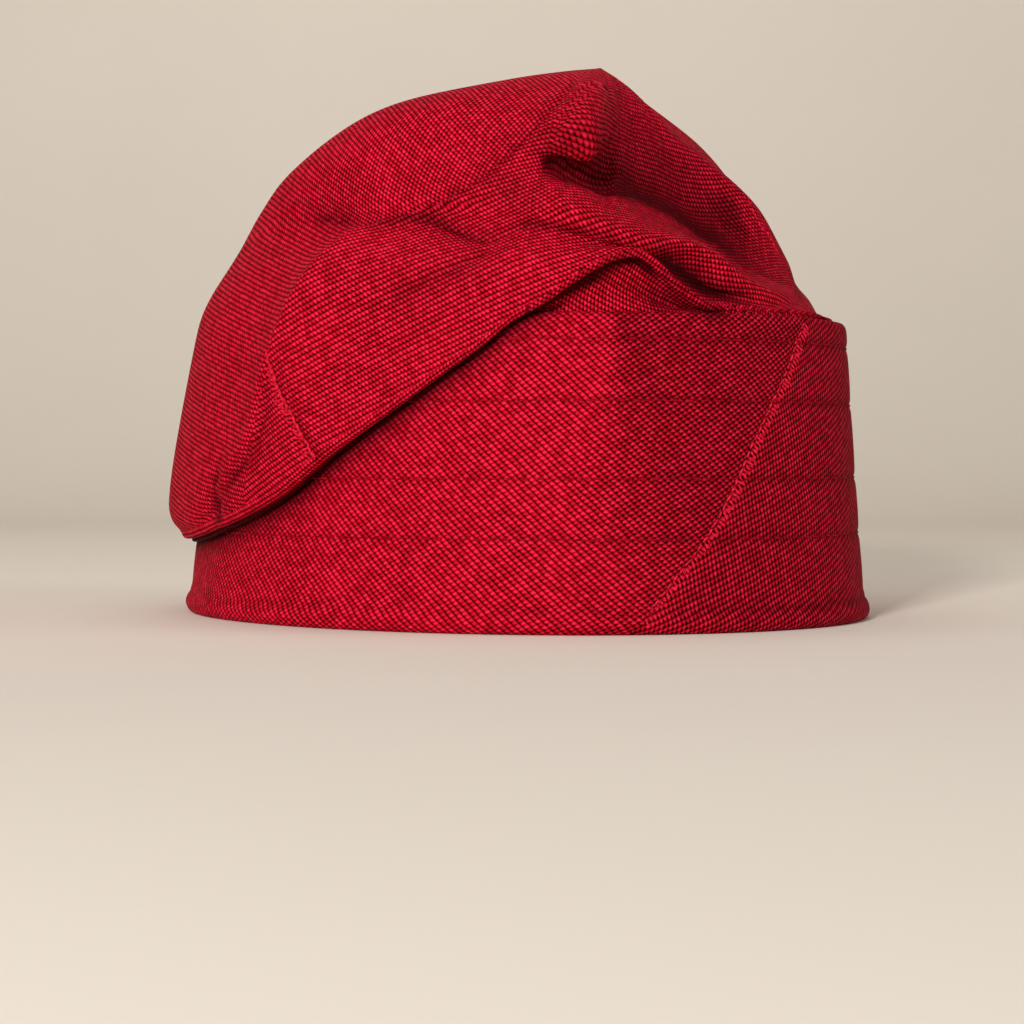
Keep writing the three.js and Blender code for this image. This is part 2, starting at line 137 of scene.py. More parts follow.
# The crown's sections round the cap, each with its lower and its upper stations on a line; the tip and the
# wall beside the front fold are a little higher than in its solid
SECTION_COLUMNS = (
    "azimuth", "over", "drop_out", "fold_up", "fold_out", "belly_out", "belly_up", "side_reach", "side_up",
    "crease_reach", "crease_up", "roll_reach", "roll_up", "valley_reach", "valley_up",
    "crest_reach", "crest_up", "brow_reach", "brow_up",
)
SECTIONS = (
    (-165, 1, 1.3, 26, 5, 8.7, 37, 98, 76,
     91, 97.5, 86.6, 109.7, 81.2, 120.5, 62.5, 133.9, 34.4, 142.5),
    (-137, 1, 1.3, 20.5, 3.9, 9.5, 31, 91.2, 76,
     84.6, 97.5, 82.2, 109.7, 77.3, 120.9, 60.8, 133.9, 34.4, 142.3),
    (-115, 1, 1.3, 22.7, 4.6, 8.7, 31, 89.2, 76,
     82.6, 98, 80.8, 109.7, 76, 120.5, 59.9, 133.9, 32.4, 141.6),
    (-90, 1, 1.3, 33, 5, 7.4, 43, 87, 76,
     79, 102, 78.1, 109.7, 72.9, 119.6, 56.4, 132.6, 29.6, 141.6),
    (-77, 1, 1.3, 45, 4.5, 6, 55, 88, 82,
     78.8, 101.5, 78.2, 108.7, 70.8, 118.7, 53.6, 131.3, 27.2, 141.6),
    (-65, 1, 1.3, 56, 4, 5.6, 65, 87.5, 89,
     78.5, 102, 78.7, 107.8, 70.5, 117, 52.2, 130, 25.8, 141.3),
    (-57, 1, 1.3, 64, 4, 5.4, 72, 88.5, 90,
     81, 99.5, 79.3, 107.3, 69.8, 116.8, 54.4, 127.8, 24.6, 141.1),
    (-51, 1, 1.3, 70.2, 4, 5.4, 77, 89.4, 91,
     82.7, 99.2, 81, 106.4, 69.1, 116.5, 56.5, 125.7, 23.4, 141.6),
    (-46.5, 1, 1.3, 75.8, 4, 5.4, 81.5, 90.2, 91.9,
     84.2, 99.3, 82.7, 105.5, 65.5, 116, 56.5, 125.4, 22, 141.5),
    (-44, 1, 1.2, 78.1, 4, 5.3, 83.5, 90.4, 92.3,
     84.6, 98.9, 83.4, 105, 64.2, 115.7, 54.5, 125.2, 20.5, 141.4),
    (-40.5, 1, 1.1, 81.4, 4, 5.1, 86.3, 90.4, 92.7,
     84.8, 98.3, 84, 104.5, 63.2, 114.8, 48.5, 125.6, 18.6, 141),
    (-37, 1, 0.8, 85.6, 4, 4.5, 89.4, 90.5, 93.2,
     85.2, 97.4, 84.7, 103.5, 62.5, 113, 42.5, 126.2, 17.8, 141.2),
    (-34, 1, 0, 89, 4, 3, 91.5, 90.5, 94,
     86, 96, 85.5, 101.8, 63, 111.4, 38.7, 126.9, 16.3, 141.2),
    (-31, 1, -1, 91.5, 3.8, 1.8, 93.2, 90.5, 94.6,
     86.3, 95.6, 86, 100.3, 63.6, 111, 36.4, 126.9, 15.3, 140.7),
    (-27.5, 1, -2.5, 92, 3.6, 0, 93.4, 90, 94.4,
     86, 95, 86.3, 98.8, 63.2, 109.7, 35, 126.6, 14.6, 140.7),
    (-25, 1, -3.5, 90.2, 3.5, -1.5, 91.6, 88.8, 92.8,
     84.6, 94.6, 86.5, 98, 63, 108.3, 33.6, 126.6, 14, 140.6),
    (-23, 1, -4.3, 88, 3.4, -2.1, 89.6, 88, 91,
     83.4, 94.2, 86.5, 97.6, 62.8, 107.5, 33, 126.6, 13.8, 140.6),
    (-21, 1, -4.8, 85.7, 3.4, -2.6, 87.4, 87.3, 89,
     82.6, 93.8, 86.4, 97.3, 62.8, 106.6, 32, 126.6, 13.5, 140.6),
    (-19, 1, -5.1, 83.5, 3.4, -3, 85.2, 86.7, 87,
     82, 93.2, 86.4, 96.9, 63, 105.8, 31.8, 126.6, 13.3, 140.5),
    (-17, 1, -5.3, 81.5, 3.4, -3.4, 83.3, 86.2, 85.2,
     81.6, 92.2, 86.4, 96.3, 62.9, 104.9, 31.4, 126.6, 13, 140.5),
    (-14.5, 0.95, -5.3, 79.6, 3.4, -3.8, 81.6, 86, 83.5,
     81.6, 90.4, 86.4, 95.2, 63.2, 103.9, 31, 126.6, 12.8, 140.5),
    (-12, 0.6, -5, 79, 3, -4.4, 81.2, 86, 83,
     82, 88.4, 86.4, 93.9, 63.5, 102.8, 30.6, 126.6, 12.6, 140.5),
    (-9.5, 0.15, -4, 79, 2, -4.9, 81, 87.2, 82.7,
     83.8, 86.4, 86.4, 92.3, 64, 101.4, 30.5, 126.5, 12.5, 140.5),
    (-5, 0, -1, 81, 0, -4.2, 80.6, 90, 81.6,
     87.6, 83.2, 86.5, 89, 65, 98.8, 30.2, 126.2, 12.2, 140.5),
    (3, 0, -1, 81, 0, -4.5, 80.6, 90.2, 81.4,
     88.8, 82.5, 86.3, 86.6, 67, 94.8, 30.2, 125.7, 11.9, 139.9),
    (12, 0, -1, 81, 0, -5.5, 80.8, 88, 82,
     86.3, 83.5, 83.5, 87, 68.5, 95, 30.7, 125.7, 11.8, 139.9),
    (25, 0, -1, 84, 0, -7.5, 81.5, 82.1, 85.5,
     77.5, 90, 73.5, 96, 59.1, 109.2, 31.1, 126.2, 9.5, 139.9),
    (47, 0, -1, 84, 0, -7.2, 83, 76.6, 88,
     71.8, 93, 67, 99.5, 55.2, 111.1, 33.1, 126.6, 8.6, 139.3),
    (85, 0, -1, 86, 0, -4.5, 87, 72.5, 101,
     69.3, 106.4, 66.1, 110.6, 60.1, 117.9, 38.1, 131.3, 13.4, 141.6),
    (108, 0, 0, 88, 1, -3, 92, 77.4, 103.5,
     74.7, 108.3, 71.4, 112.4, 63.9, 119.6, 44.4, 132.2, 19.1, 142.3),
    (124, 1, 1.3, 86, 4, 5, 94, 82.4, 104.9,
     79.1, 109.7, 75.8, 113.8, 68.6, 120.9, 50.1, 133.1, 23.9, 142.5),
    (145, 1, 1.3, 68, 5, 6.5, 77, 89.5, 96,
     86.4, 103.9, 83, 110.6, 76.1, 120.1, 57.8, 133.1, 28.6, 142.7),
    (168, 1, 1.3, 46, 5.5, 7.5, 57, 97.5, 83,
     92.5, 97.5, 88.1, 108.7, 81.5, 119.6, 62.6, 133.5, 32.4, 142.7),
)

# The stations up a section, each with the span to the next one
STATIONS = (
    ("tuck", 12),
    ("edge", 3),
    ("lip", 3),
    ("drop", 12),
    ("foldBack", 5),
    ("foldUnder", 3),
    ("foldFront", 4),
    ("foldTop", 6),
    ("belly", 16),
    ("side", 12),
    ("crease", 7),
    ("roll", 16),
    ("valley", 28),
    ("crest", 30),
    ("brow", 20),
    ("peak", 0),
)

# The stations from the band's top edge round the fold
FOLDED = (
    FoldedStation(0.15, 0, Place(0, 2, -3.3), Place(0.45, 0, -3.3)),
    FoldedStation(0.3, 0, Place(0, -0.5, 0.6), Place(0.75, 0, -2)),
    FoldedStation(0.45, 0, Place(1, 2.6, 0), Place(1, -0.8, -0.6)),
    FoldedStation(0.6, 0.25, Place(1, 0.5, 0), Place(1, -0.1, 0)),
    FoldedStation(0.75, 0.65, Place(1, 0.2, 0), Place(1, 0.2, 0)),
    FoldedStation(0.88, 0.98, Place(1, 1.8, 0), Place(1, 1.8, 0)),
)

# The folds that the solid has too
FOLDS = (
    Fold("ridge down from the peak", 5, 9, 7, 0, 1.2, (
        (-55, 144, 0.1), (-49.4, 132.8, 0.8), (-46.4, 125.4, 1), (-45.2, 121.6, 0.9))),
    Fold("lip at the ridge's foot", 2.5, 4, 2.5, 2, 2, (
        (-53, 120.6, 0), (-49, 120.9, 0.6), (-45.2, 121.2, 1))),
    Fold("pinch under the ridge", -5, 2.5, 4, 0, 2, (
        (-51, 117, 0.2), (-46.5, 117.2, 0.9), (-42.5, 116.4, 1), (-37, 113.8, 0.6), (-29, 110.8, 0.2))),
    Fold("edge of the long roll", 1.5, 4, 2, 1.5, 2, (
        (-47, 101.5, 0), (-40, 100.3, 0.8), (-31, 97.8, 1), (-23, 94.3, 1), (-12, 88, 1), (-4, 85.5, 0.3))),
    Fold("bend along the side seam", 3.5, 12, 14, 0, 1.5, (
        (-73.5, 101, 0.2), (-77.5, 92, 0.8), (-85, 71.6, 1), (-84.5, 51, 1))),
    Fold("pinch at the flap's tip", -4, 4, 4, 0, 1.5, ((-112, 22, 1), (-108, 31, 0.8), (-103, 42, 0.2))),
)

# The finer creases, many with painted shade in them, and strokes of painted shade on cloth with no crease
FINE_FOLDS = (
    Fold("groove of the upper seam", -0.9, 1.3, 1.3, 0, 2, (
        (-53.3, 141.7, 0.3), (-56, 132.2, 0.8), (-58, 121.2, 1), (-60.7, 112.3, 1), (-65.3, 106.2, 0.8),
        (-68, 104.8, 0.4)), 0.45),
    Fold("groove of the lower seam", -0.9, 1.2, 1.2, 0, 2, (
        (-87, 65.5, 0.3), (-86, 60.3, 1), (-84.3, 55.1, 1), (-82.7, 49.5, 1), (-80.7, 43.5, 1)), 0.5),
    Fold("edge between the side and the flap", 3.2, 9, 8, 0, 1, (
        (-78.3, 101.1, 0.5), (-80, 92.3, 1), (-84.3, 78.1, 1), (-89.3, 66.2, 1), (-91.7, 57.7, 1),
        (-94.7, 47.6, 1), (-100.7, 40.6, 0.9), (-107.3, 33.9, 0.7), (-113.7, 27, 0.4))),
    Fold("crease beside that edge", -1.0, 3, 1.3, 0, 1.5, (
        (-87, 68, 0.3), (-89.2, 58, 0.8), (-91.8, 48, 1), (-97.7, 40, 1), (-104.2, 33, 0.9),
        (-109.5, 26.5, 0.5)), 0.4),
    Fold("crease across the side", -1.2, 3.5, 2, 0, 1, (
        (-105, 107.9, 0.2), (-93, 105.1, 0.9), (-85.3, 103.4, 1), (-80.3, 101.5, 0.6)), 0.45),
    Fold("crease along the flap's top", -1.2, 2.5, 2, 0, 1, (
        (-68.3, 103.1, 0.3), (-61, 99.9, 1), (-54, 97.1, 1), (-50.3, 97.8, 0.5)), 0.45),
    Fold("crease over the flap", -2.0, 4, 2.5, 0, 1, (
        (-52, 95, 0.5), (-54.3, 92.3, 1), (-57.7, 89.6, 1), (-60.7, 87.2, 1), (-64, 84.4, 0.8),
        (-69.3, 80.5, 0.1)), 0.45),
    # Painted shade on the cloth beside the upper seam
    Fold("painted shade beside the upper seam", 0, 6, 6, 0, 2, (
        (-60, 113, 0.5), (-55, 110, 1), (-51, 106, 1), (-50, 102, 0.6)), 0.3),
    Fold("valley beside the roll", -2.5, 6, 5, 0, 1.5, (
        (-48, 115.6, 0.6), (-42, 114.8, 1), (-34.7, 114.5, 1), (-12.3, 112.7, 0.6), (13.3, 107.9, 0.2))),
    Fold("shade beside the roll", 0, 14, 3, 0, 2, (
        (-44, 114.5, 0.6), (-36, 111.7, 0.9), (-27.5, 111.1, 1), (-16, 108.5, 1), (-3, 104.1, 1),
        (7, 99.2, 1), (10.5, 92.9, 0.6)), 0.9),
    Fold("line along the roll's top", -0.8, 1.6, 1.6, 0, 1.5, (
        (-50.3, 98.5, 0.3), (-47.5, 100.6, 1), (-41.5, 100.3, 1), (-35, 99.2, 0.9),
        (-29.5, 97.6, 0.4)), 0.55),
    Fold("start of the roll", 1.6, 3, 3, 0, 1.2, (
        (-50.7, 114, 0.3), (-44.7, 107.7, 1), (-40, 102.7, 0.6))),
    # Painted shadow in the hollow under the roll
    Fold("painted shadow under the roll", 0, 4.2, 4.2, 0, 4, (
        (-26.5, 94.6, 0.3), (-23, 93, 0.9), (-19, 91, 1), (-16, 89.2, 1), (-12, 86.4, 1), (-9, 84.6, 0.9),
        (-5, 82, 0.3)), 0.98),
    # Painted shade on the far facet, which is turned from the light
    Fold("painted shade on the far facet", 0, 12, 10, 0, 2, (
        (-34, 127, 0.5), (-19.5, 123.5, 1), (-4.5, 118, 1), (9, 111, 1), (15, 101, 0.5)), 0.45),
    Fold("nick in the flap's tip", -1.5, 1.2, 1.2, 0, 2, (
        (-106.3, 32.9, 0.3), (-106.7, 28.3, 1), (-108.7, 23, 1)), 0.8),
)


def smoothstep(x: Array, low: float, high: float) -> Array:
    """Returns a smooth step from 0 at low to 1 at high."""
    u = np.clip((x - low) / (high - low), 0, 1)
    return u * u * (3 - 2 * u)


def bell(distance: Array, width: float) -> Array:
    """Returns 1 at no distance, falling away over a width on both sides."""
    return np.exp(-((distance / width) ** 2))


def bearing(azimuth: Array) -> Array:
    """Returns unit vectors on the ground at azimuths in degrees."""
    angle = np.radians(azimuth)
    return np.stack([np.sin(angle), -np.cos(angle), np.zeros_like(angle)], -1)


def half_turn(azimuth: Array) -> Array:
    """Returns the same azimuths between -180 and 180."""
    return (azimuth + 180) % 360 - 180


def unit(vectors: Array) -> Array:
    """Returns vectors made one long."""
    return vectors / np.maximum(np.linalg.norm(vectors, axis=-1, keepdims=True), TINY)


def lengths_along(points: Array, axis: int = 0) -> Array:
    """Measures along a line of points, or along every line of a grid.

    Args:
        points: The line or grid.
        axis: The axis that the lines follow.

    Returns:
        The length from the start of its line to each point.
    """
    steps = np.linalg.norm(np.diff(points, axis=axis), axis=-1)
    start = np.zeros_like(np.take(steps, [0], axis))
    return np.concatenate([start, np.cumsum(steps, axis)], axis)


def turned_map(across: Array, up: Array, degrees: float) -> Array:
    """Turns a weave map.

    Args:
        across: Lengths across the cloth.
        up: Lengths up the cloth.
        degrees: How far the rows are turned.

    Returns:
        The map, with a place along a row and a place across the rows for each point.
    """
    turn = math.radians(degrees)
    c, s = math.cos(turn), math.sin(turn)
    return np.stack([across * c + up * s, up * c - across * s], -1)


def span_at(knots: Array, at: Array) -> Array:
    """Returns the number of the span between knots that holds each value."""
    return np.clip(np.searchsorted(knots, at, side="right") - 1, 0, len(knots) - 2)


def knot_slopes(knots: Array, values: Array) -> Array:
    """Works out the slope at each knot, which is the mean of the slopes on either side of it.

    Args:
        knots: Increasing knot values.
        values: One row for each knot.

    Returns:
        One row for each knot.
    """
    spread = (slice(None),) + (None,) * (values.ndim - 1)
    steps = np.diff(values, axis=0) / np.diff(knots)[spread]
    return np.concatenate([steps[:1], 0.5 * (steps[:-1] + steps[1:]), steps[-1:]])


def hermite(share: Array, gap: Array, ends: tuple[Array, Array], slopes: tuple[Array, Array]) -> Array:
    """Reads a cubic between two ends.

    Args:
        share: How far across the gap it is read, from 0 to 1.
        gap: The gap between the knots at the two ends.
        ends: The values at the two ends.
        slopes: The slopes at the two ends.

    Returns:
        The values there.
    """
    square, cube = share**2, share**3
    return (
        (2 * cube - 3 * square + 1) * ends[0]
        + (cube - 2 * square + share) * gap * slopes[0]
        + (3 * square - 2 * cube) * ends[1]
        + (cube - square) * gap * slopes[1]
    )


def cubic(knots: Array, values: Array, at: Array) -> Array:
    """Reads a smooth curve through values at knots.

    Args:
        knots: Increasing knot values.
        values: One row for each knot.
        at: Where the curve is read.

    Returns:
        One row for each entry of at.
    """
    spread = (slice(None),) + (None,) * (values.ndim - 1)
    i = span_at(knots, at)
    gap = np.diff(knots)[i]
    share = (at - knots[i]) / gap
    slopes = knot_slopes(knots, values)
    return hermite(share[spread], gap[spread], (values[i], values[i + 1]), (slopes[i], slopes[i + 1]))


def ring_normals(points: Array) -> Array:
    """Works out the outward normals of a grid.

    Args:
        points: The grid, whose first axis goes round in a ring and whose second goes up.

    Returns:
        A unit vector for each point.
    """
    round_it = np.roll(points, -1, 0) - np.roll(points, 1, 0)
    normals = np.cross(round_it, np.gradient(points, axis=1))
    return unit(normals)


def ring_faces(columns: int, rows: int, start: int = 0) -> Array:
    """Makes the quads between a grid's columns, round in a ring.

    Args:
        columns: How many columns the ring has.
        rows: How many vertices a column has; they are numbered column by column.
        start: The number of the grid's first vertex.

    Returns:
        Four vertex numbers for each quad.
    """
    i, j = np.meshgrid(np.arange(columns), np.arange(rows - 1), indexing="ij")
    after = (i + 1) % columns
    corners = [i * rows + j, after * rows + j, after * rows + j + 1, i * rows + j + 1]
    return start + np.stack(corners, -1).reshape(-1, 4)


class Graph:
    """A node tree with short calls for its sockets, nodes, links and sums."""

    def __init__(self, tree: bpy.types.NodeTree) -> None:
        """Keeps the node tree that nodes are added to."""
        self.tree = tree

    def sockets(self, way: str, kind: str, *names: str) -> None:
        """Gives the group sockets of one kind, where way is INPUT or OUTPUT."""
        for name in names:
            self.tree.interface.new_socket(name, in_out=way, socket_type=f"NodeSocket{kind}")

    def add(self, kind: str, values: dict[str | int, Any] | None = None, **settings: Any) -> bpy.types.Node:
        """Adds a node.

        Args:
            kind: The node's type name.
            values: Input name or number, with a socket to link or a plain value to set.
            settings: The node's own settings.

        Returns:
            The new node.
        """
        node = self.tree.nodes.new(kind)
        for name, value in settings.items():
            setattr(node, name, value)
        self.feed_all(node, values or {})
        return node

    def feed(self, socket: Socket, value: Any) -> None:
        """Feeds one input.

        Args:
            socket: The input.
            value: A socket to link, or a plain value to set.
        """
        if isinstance(value, bpy.types.NodeSocket):
            self.tree.links.new(value, socket)
        else:
            socket.default_value = value

    def feed_all(self, node: bpy.types.Node, values: dict[str | int, Any]) -> None:
        """Feeds a node's inputs by their names or numbers."""
        for key, value in values.items():
            self.feed(node.inputs[key], value)

    def math(self, operation: str, *values: Any) -> Socket:
        """Returns the result of a math node on sockets or numbers."""
        node = self.add("ShaderNodeMath", dict(enumerate(values)), operation=operation)
        return node.outputs[0]

    def blend(self, share: Any, low: Any, high: Any) -> Socket:
        """Mixes two colours, which are inputs 6 and 7 of the node.

        Args:
            share: The share of the high colour.
            low: The colour at share 0.
            high: The colour at share 1.

        Returns:
            The mixed colour.
        """
        node = self.add("ShaderNodeMix", data_type="RGBA")
        self.feed_all(node, {0: share, 6: low, 7: high})
        return node.outputs[2]

    def step(self, value: Any, low: float, high: float) -> Socket:
        """Returns a smooth step of value from 0 at low to 1 at high."""
        limits = {"Value": value, "From Min": low, "From Max": high}
        return self.add("ShaderNodeMapRange", limits, interpolation_type="SMOOTHSTEP").outputs["Result"]

    def noise(self, place: Socket, scale: float, detail: float) -> bpy.types.Node:
        """Returns a noise node of a size and fineness."""
        return self.add("ShaderNodeTexNoise", {"Vector": place, "Scale": scale, "Detail": detail})


class SharedGroup:
    """A node group that is made once and then shared."""

    NAME: str
    KIND: str

    @classmethod
    def get(cls) -> bpy.types.NodeTree:
        """Returns the group, which is made the first time."""
        return bpy.data.node_groups.get(cls.NAME) or cls._make()

    @classmethod
    def _make(cls) -> bpy.types.NodeTree:
        """Makes the group with its nodes.

        Returns:
            The new group.
        """
        tree = bpy.data.node_groups.new(cls.NAME, cls.KIND)
        cls._fill(Graph(tree))
        return tree

    @classmethod
    def _fill(cls, graph: Graph) -> None:
        """Adds the group's sockets and nodes."""
        raise NotImplementedError


class WeaveGroup(SharedGroup):
    """The shared weave: thick weft rows like ropes, whose floats stand up as beads with a hole beside each.

    Scales are counts for each millimetre of cloth. A depth is its value in tight cloth and what open cloth
    adds to it, as shares of the yarn's height. The colour follows that height: painted shade in the hollows,
    which open cloth deepens, and a painted highlight on the crests; the Shade input paints more shade
    towards the hollow colour.
    """

    NAME = "roped weave"
    KIND = "ShaderNodeTree"
    NUMBERS = ("Row Pitch", "Bead Pitch", "Stagger", "Slant", "Twist", "Unevenness", "Openness", "Shade")
    COLOURS = ("Hollow", "Yarn", "Crest")
    DRIFT_SCALE = 0.25
    PATCH_SCALE = 0.05
    FIBRE_SCALE = 2.8
    DETAIL = 2.0
    FIBRE_DETAIL = 3.0
    EDGE_FORM = 3.0
    PATCH_SHARE = 0.7
    HOLE_SQUASH = 0.85
    HOLE_ASIDE = 0.24
    HOLE_SIZE = (0.1, 0.32)
    LINE_DEPTH = (0.85, -0.1)
    GAP_DEPTH = (0.3, 0.4)
    HOLE_DEPTH = (0.15, 0.65)
    BEADS_A_ROW = 31.7
    TINT_SHARE = 0.25
    FIBRE_SHARE = 0.5
    YARN_FROM = (0.1, 0.75)
    CREST_FROM = (0.75, 1.15)
    ROUGHNESS = (0.85, -0.25)

    @classmethod
    def _fill(cls, graph: Graph) -> None:
        """Adds the weave's sockets and nodes.

        Args:
            graph: The new group.
        """
        graph.sockets("INPUT", "Vector", "Place")
        graph.sockets("INPUT", "Float", *cls.NUMBERS)
        graph.sockets("INPUT", "Color", *cls.COLOURS)
        graph.sockets("OUTPUT", "Color", "Colour")
        graph.sockets("OUTPUT", "Float", "Height", "Roughness")
        given = graph.add("NodeGroupInput").outputs
        place = graph.add("ShaderNodeSeparateXYZ", {"Vector": given["Place"]})
        drift = graph.noise(given["Place"], cls.DRIFT_SCALE, cls.DETAIL).outputs["Color"]
        drift = graph.add("ShaderNodeSeparateColor", {"Color": drift})

        def uneven(count: Socket, channel: str) -> Socket:
            """Returns a count of yarns that wanders a little."""
            wander = graph.math("SUBTRACT", drift.outputs[channel], 0.5)
            return graph.math("MULTIPLY_ADD", wander, given["Unevenness"], count)

        def middle(count: Socket, whole: Socket) -> Socket:
            """Returns how far a count is from the middle of its yarn, from -0.5 to 0.5."""
            return graph.math("SUBTRACT", graph.math("SUBTRACT", count, whole), 0.5)

        def edge(side: Socket) -> Socket:
            """Returns 0 over most of a yarn, rising to 1 at its sides."""
            twice = graph.math("MULTIPLY", side, 2.0)
            return graph.math("POWER", graph.math("ABSOLUTE", twice), cls.EDGE_FORM)

        def swing(value: Socket, share: float, about: Socket) -> Socket:
            """Returns about with a share of a noise added, which swings about 0.5."""
            return graph.math("MULTIPLY_ADD", graph.math("SUBTRACT", value, 0.5), share, about)

        rows = uneven(graph.math("DIVIDE", place.outputs["Y"], given["Row Pitch"]), "Red")
        row = graph.math("FLOOR", rows)
        across = middle(rows, row)
        slanted = graph.math("MULTIPLY_ADD", place.outputs["Y"], given["Slant"], place.outputs["X"])
        beads = uneven(graph.math("DIVIDE", slanted, given["Bead Pitch"]), "Green")
        beads = graph.math("MULTIPLY_ADD", row, given["Stagger"], beads)
        beads = graph.math("MULTIPLY_ADD", across, given["Twist"], beads)
        bead = graph.math("FLOOR", beads)
        along = middle(beads, bead)

        patchy = graph.noise(given["Place"], cls.PATCH_SCALE, cls.DETAIL).outputs[0]
        loose = swing(patchy, cls.PATCH_SHARE, given["Openness"])
        loose = graph.add("ShaderNodeClamp", {"Value": loose}).outputs[0]
        hole_x = graph.math("SUBTRACT", 0.5, graph.math("ABSOLUTE", along))
        hole_x = graph.math("MULTIPLY", hole_x, cls.HOLE_SQUASH)
        hole_y = graph.math("ADD", across, cls.HOLE_ASIDE)
        hole_r = graph.math("ADD", graph.math("POWER", hole_x, 2.0), graph.math("MULTIPLY", hole_y, hole_y))
        hole = graph.math("SUBTRACT", 1.0, graph.step(graph.math("SQRT", hole_r), *cls.HOLE_SIZE))
        height: Any = 1.0
        for mask, depth in (
            (edge(across), cls.LINE_DEPTH), (edge(along), cls.GAP_DEPTH), (hole, cls.HOLE_DEPTH)
        ):
            deep = graph.math("MULTIPLY_ADD", loose, depth[1], depth[0])
            height = graph.math("SUBTRACT", height, graph.math("MULTIPLY", mask, deep))
        height = graph.math("MAXIMUM", height, 0.0)

        number = graph.math("MULTIPLY_ADD", row, cls.BEADS_A_ROW, bead)
        tint = graph.add("ShaderNodeTexWhiteNoise", {"W": number}, noise_dimensions="1D").outputs["Value"]
        lit = swing(tint, cls.TINT_SHARE, height)
        fibres = graph.noise(given["Place"], cls.FIBRE_SCALE, cls.FIBRE_DETAIL).outputs[0]
        lit = swing(fibres, cls.FIBRE_SHARE, lit)
        # Painted shade and highlight: low parts take the hollow colour, high parts the crest colour, and the
        # Shade mark mixes in more painted shade
        colour = graph.blend(graph.step(lit, *cls.YARN_FROM), given["Hollow"], given["Yarn"])
        colour = graph.blend(graph.step(lit, *cls.CREST_FROM), colour, given["Crest"])
        colour = graph.blend(given["Shade"], colour, given["Hollow"])
        rough = graph.math("MULTIPLY_ADD", lit, cls.ROUGHNESS[1], cls.ROUGHNESS[0])
        graph.add("NodeGroupOutput", {"Colour": colour, "Height": height, "Roughness": rough})


def new_material(name: str) -> tuple[bpy.types.Material, Graph, bpy.types.Node]:
    """Makes a material to be dressed.

    Args:
        name: The material's name.

    Returns:
        The material, its graph and its shader.
    """
    material = bpy.data.materials.new(name)
    material.use_nodes = True
    return material, Graph(material.node_tree), material.node_tree.nodes["Principled BSDF"]


def opaque(colour: Colour) -> tuple[float, float, float, float]:
    """Returns a colour with full cover."""
    return (*colour, 1.0)


@dataclass(frozen=True)
class ClothFinish:
    """A woven cloth: its pitches in millimetres, and its colours from the yarns' hollows to their crests."""

    name: str
    row_pitch: float
    bead_pitch: float
    stagger: float
    slant: float
    twist: float
    relief: float
    # The hollow colour is painted shade in the weave's hollows and the colour that the painted crease shade
    # mixes towards; the crest colour is a painted highlight on the yarns' tops
    hollow: Colour = (0.03, 0.0002, 0.0008)
    yarn: Colour = (0.45, 0.002, 0.013)
    crest: Colour = (0.92, 0.017, 0.068)
    unevenness: float = 0.35
    sheen: float = 0.012
    sheen_roughness: float = 0.4
    sheen_tint: Colour = (1.0, 0.07, 0.16)
    specular: float = 0.03

    def material(self) -> bpy.types.Material:
        """Dresses the cloth.

        Returns:
            The material, which reads the piece's weave map in millimetres and its marks.
        """
        material, graph, shader = new_material(self.name)
        weave = graph.add("ShaderNodeGroup", node_tree=WeaveGroup.get())
        graph.feed_all(weave, {
            "Place": graph.add("ShaderNodeUVMap", uv_map=WEAVE_MAP).outputs["UV"],
            "Row Pitch": self.row_pitch,
            "Bead Pitch": self.bead_pitch,
            "Stagger": self.stagger,
            "Slant": self.slant,
            "Twist": self.twist,
            "Unevenness": self.unevenness,
            "Openness": graph.add("ShaderNodeAttribute", attribute_name=LOOSE_AND_SHADE_NAME).outputs["Fac"],
            "Shade": graph.add("ShaderNodeAttribute", attribute_name=SHADE_NAME).outputs["Fac"],
            "Hollow": opaque(self.hollow),
            "Yarn": opaque(self.yarn),
            "Crest": opaque(self.crest),
        })
        bump = graph.add("ShaderNodeBump", {
            "Height": weave.outputs["Height"], "Strength": 1.0, "Distance": self.relief * MM})
        graph.feed_all(shader, {
            "Base Color": weave.outputs["Colour"],
            "Roughness": weave.outputs["Roughness"],
            "Normal": bump.outputs["Normal"],
            "Sheen Weight": self.sheen,
            "Sheen Roughness": self.sheen_roughness,
            "Sheen Tint": opaque(self.sheen_tint),
            "Specular IOR Level": self.specular,
        })
        return material


@dataclass(frozen=True)
class MottledFinish:
    """A plain surface that is mottled between two colours; crisp is where the change starts and ends."""

    name: str
    dark: Colour
    light: Colour
    roughness: float
    specular: float
    scale: float
    detail: float
    crisp: tuple[float, float] | None = None

    def material(self) -> bpy.types.Material:
        """Dresses the surface.

        Returns:
            The material, which reads object coordinates.
        """
        material, graph, shader = new_material(self.name)
        place = graph.add("ShaderNodeTexCoord").outputs["Object"]
        mottle = graph.noise(place, self.scale, self.detail).outputs[0]
        if self.crisp:
            mottle = graph.step(mottle, *self.crisp)
        graph.feed_all(shader, {
            "Base Color": graph.blend(mottle, opaque(self.dark), opaque(self.light)),
            "Roughness": self.roughness,
            "Specular IOR Level": self.specular,
        })
        return material


@dataclass(frozen=True)
class ThreadFinish(MottledFinish):
    """A sewing thread, mottled along its length."""

    roughness: float = 0.6
    specular: float = 0.03
    scale: float = 1400.0
    detail: float = 2.0
    crisp: tuple[float, float] | None = (0.3, 0.7)


@dataclass(frozen=True)
class FloorFinish(MottledFinish):
    """The studio's matt floor, with a faint mottle."""

    roughness: float = 0.9
    specular: float = 0.1
    scale: float = 6.0
    detail: float = 3.0


def rim_middle() -> Array:
    """Returns the middle of the rim in the row frame, in millimetres."""
    low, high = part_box("band")
    return np.array([(low.x + high.x) / 2, (low.y + high.y) / 2, 0]) / MM


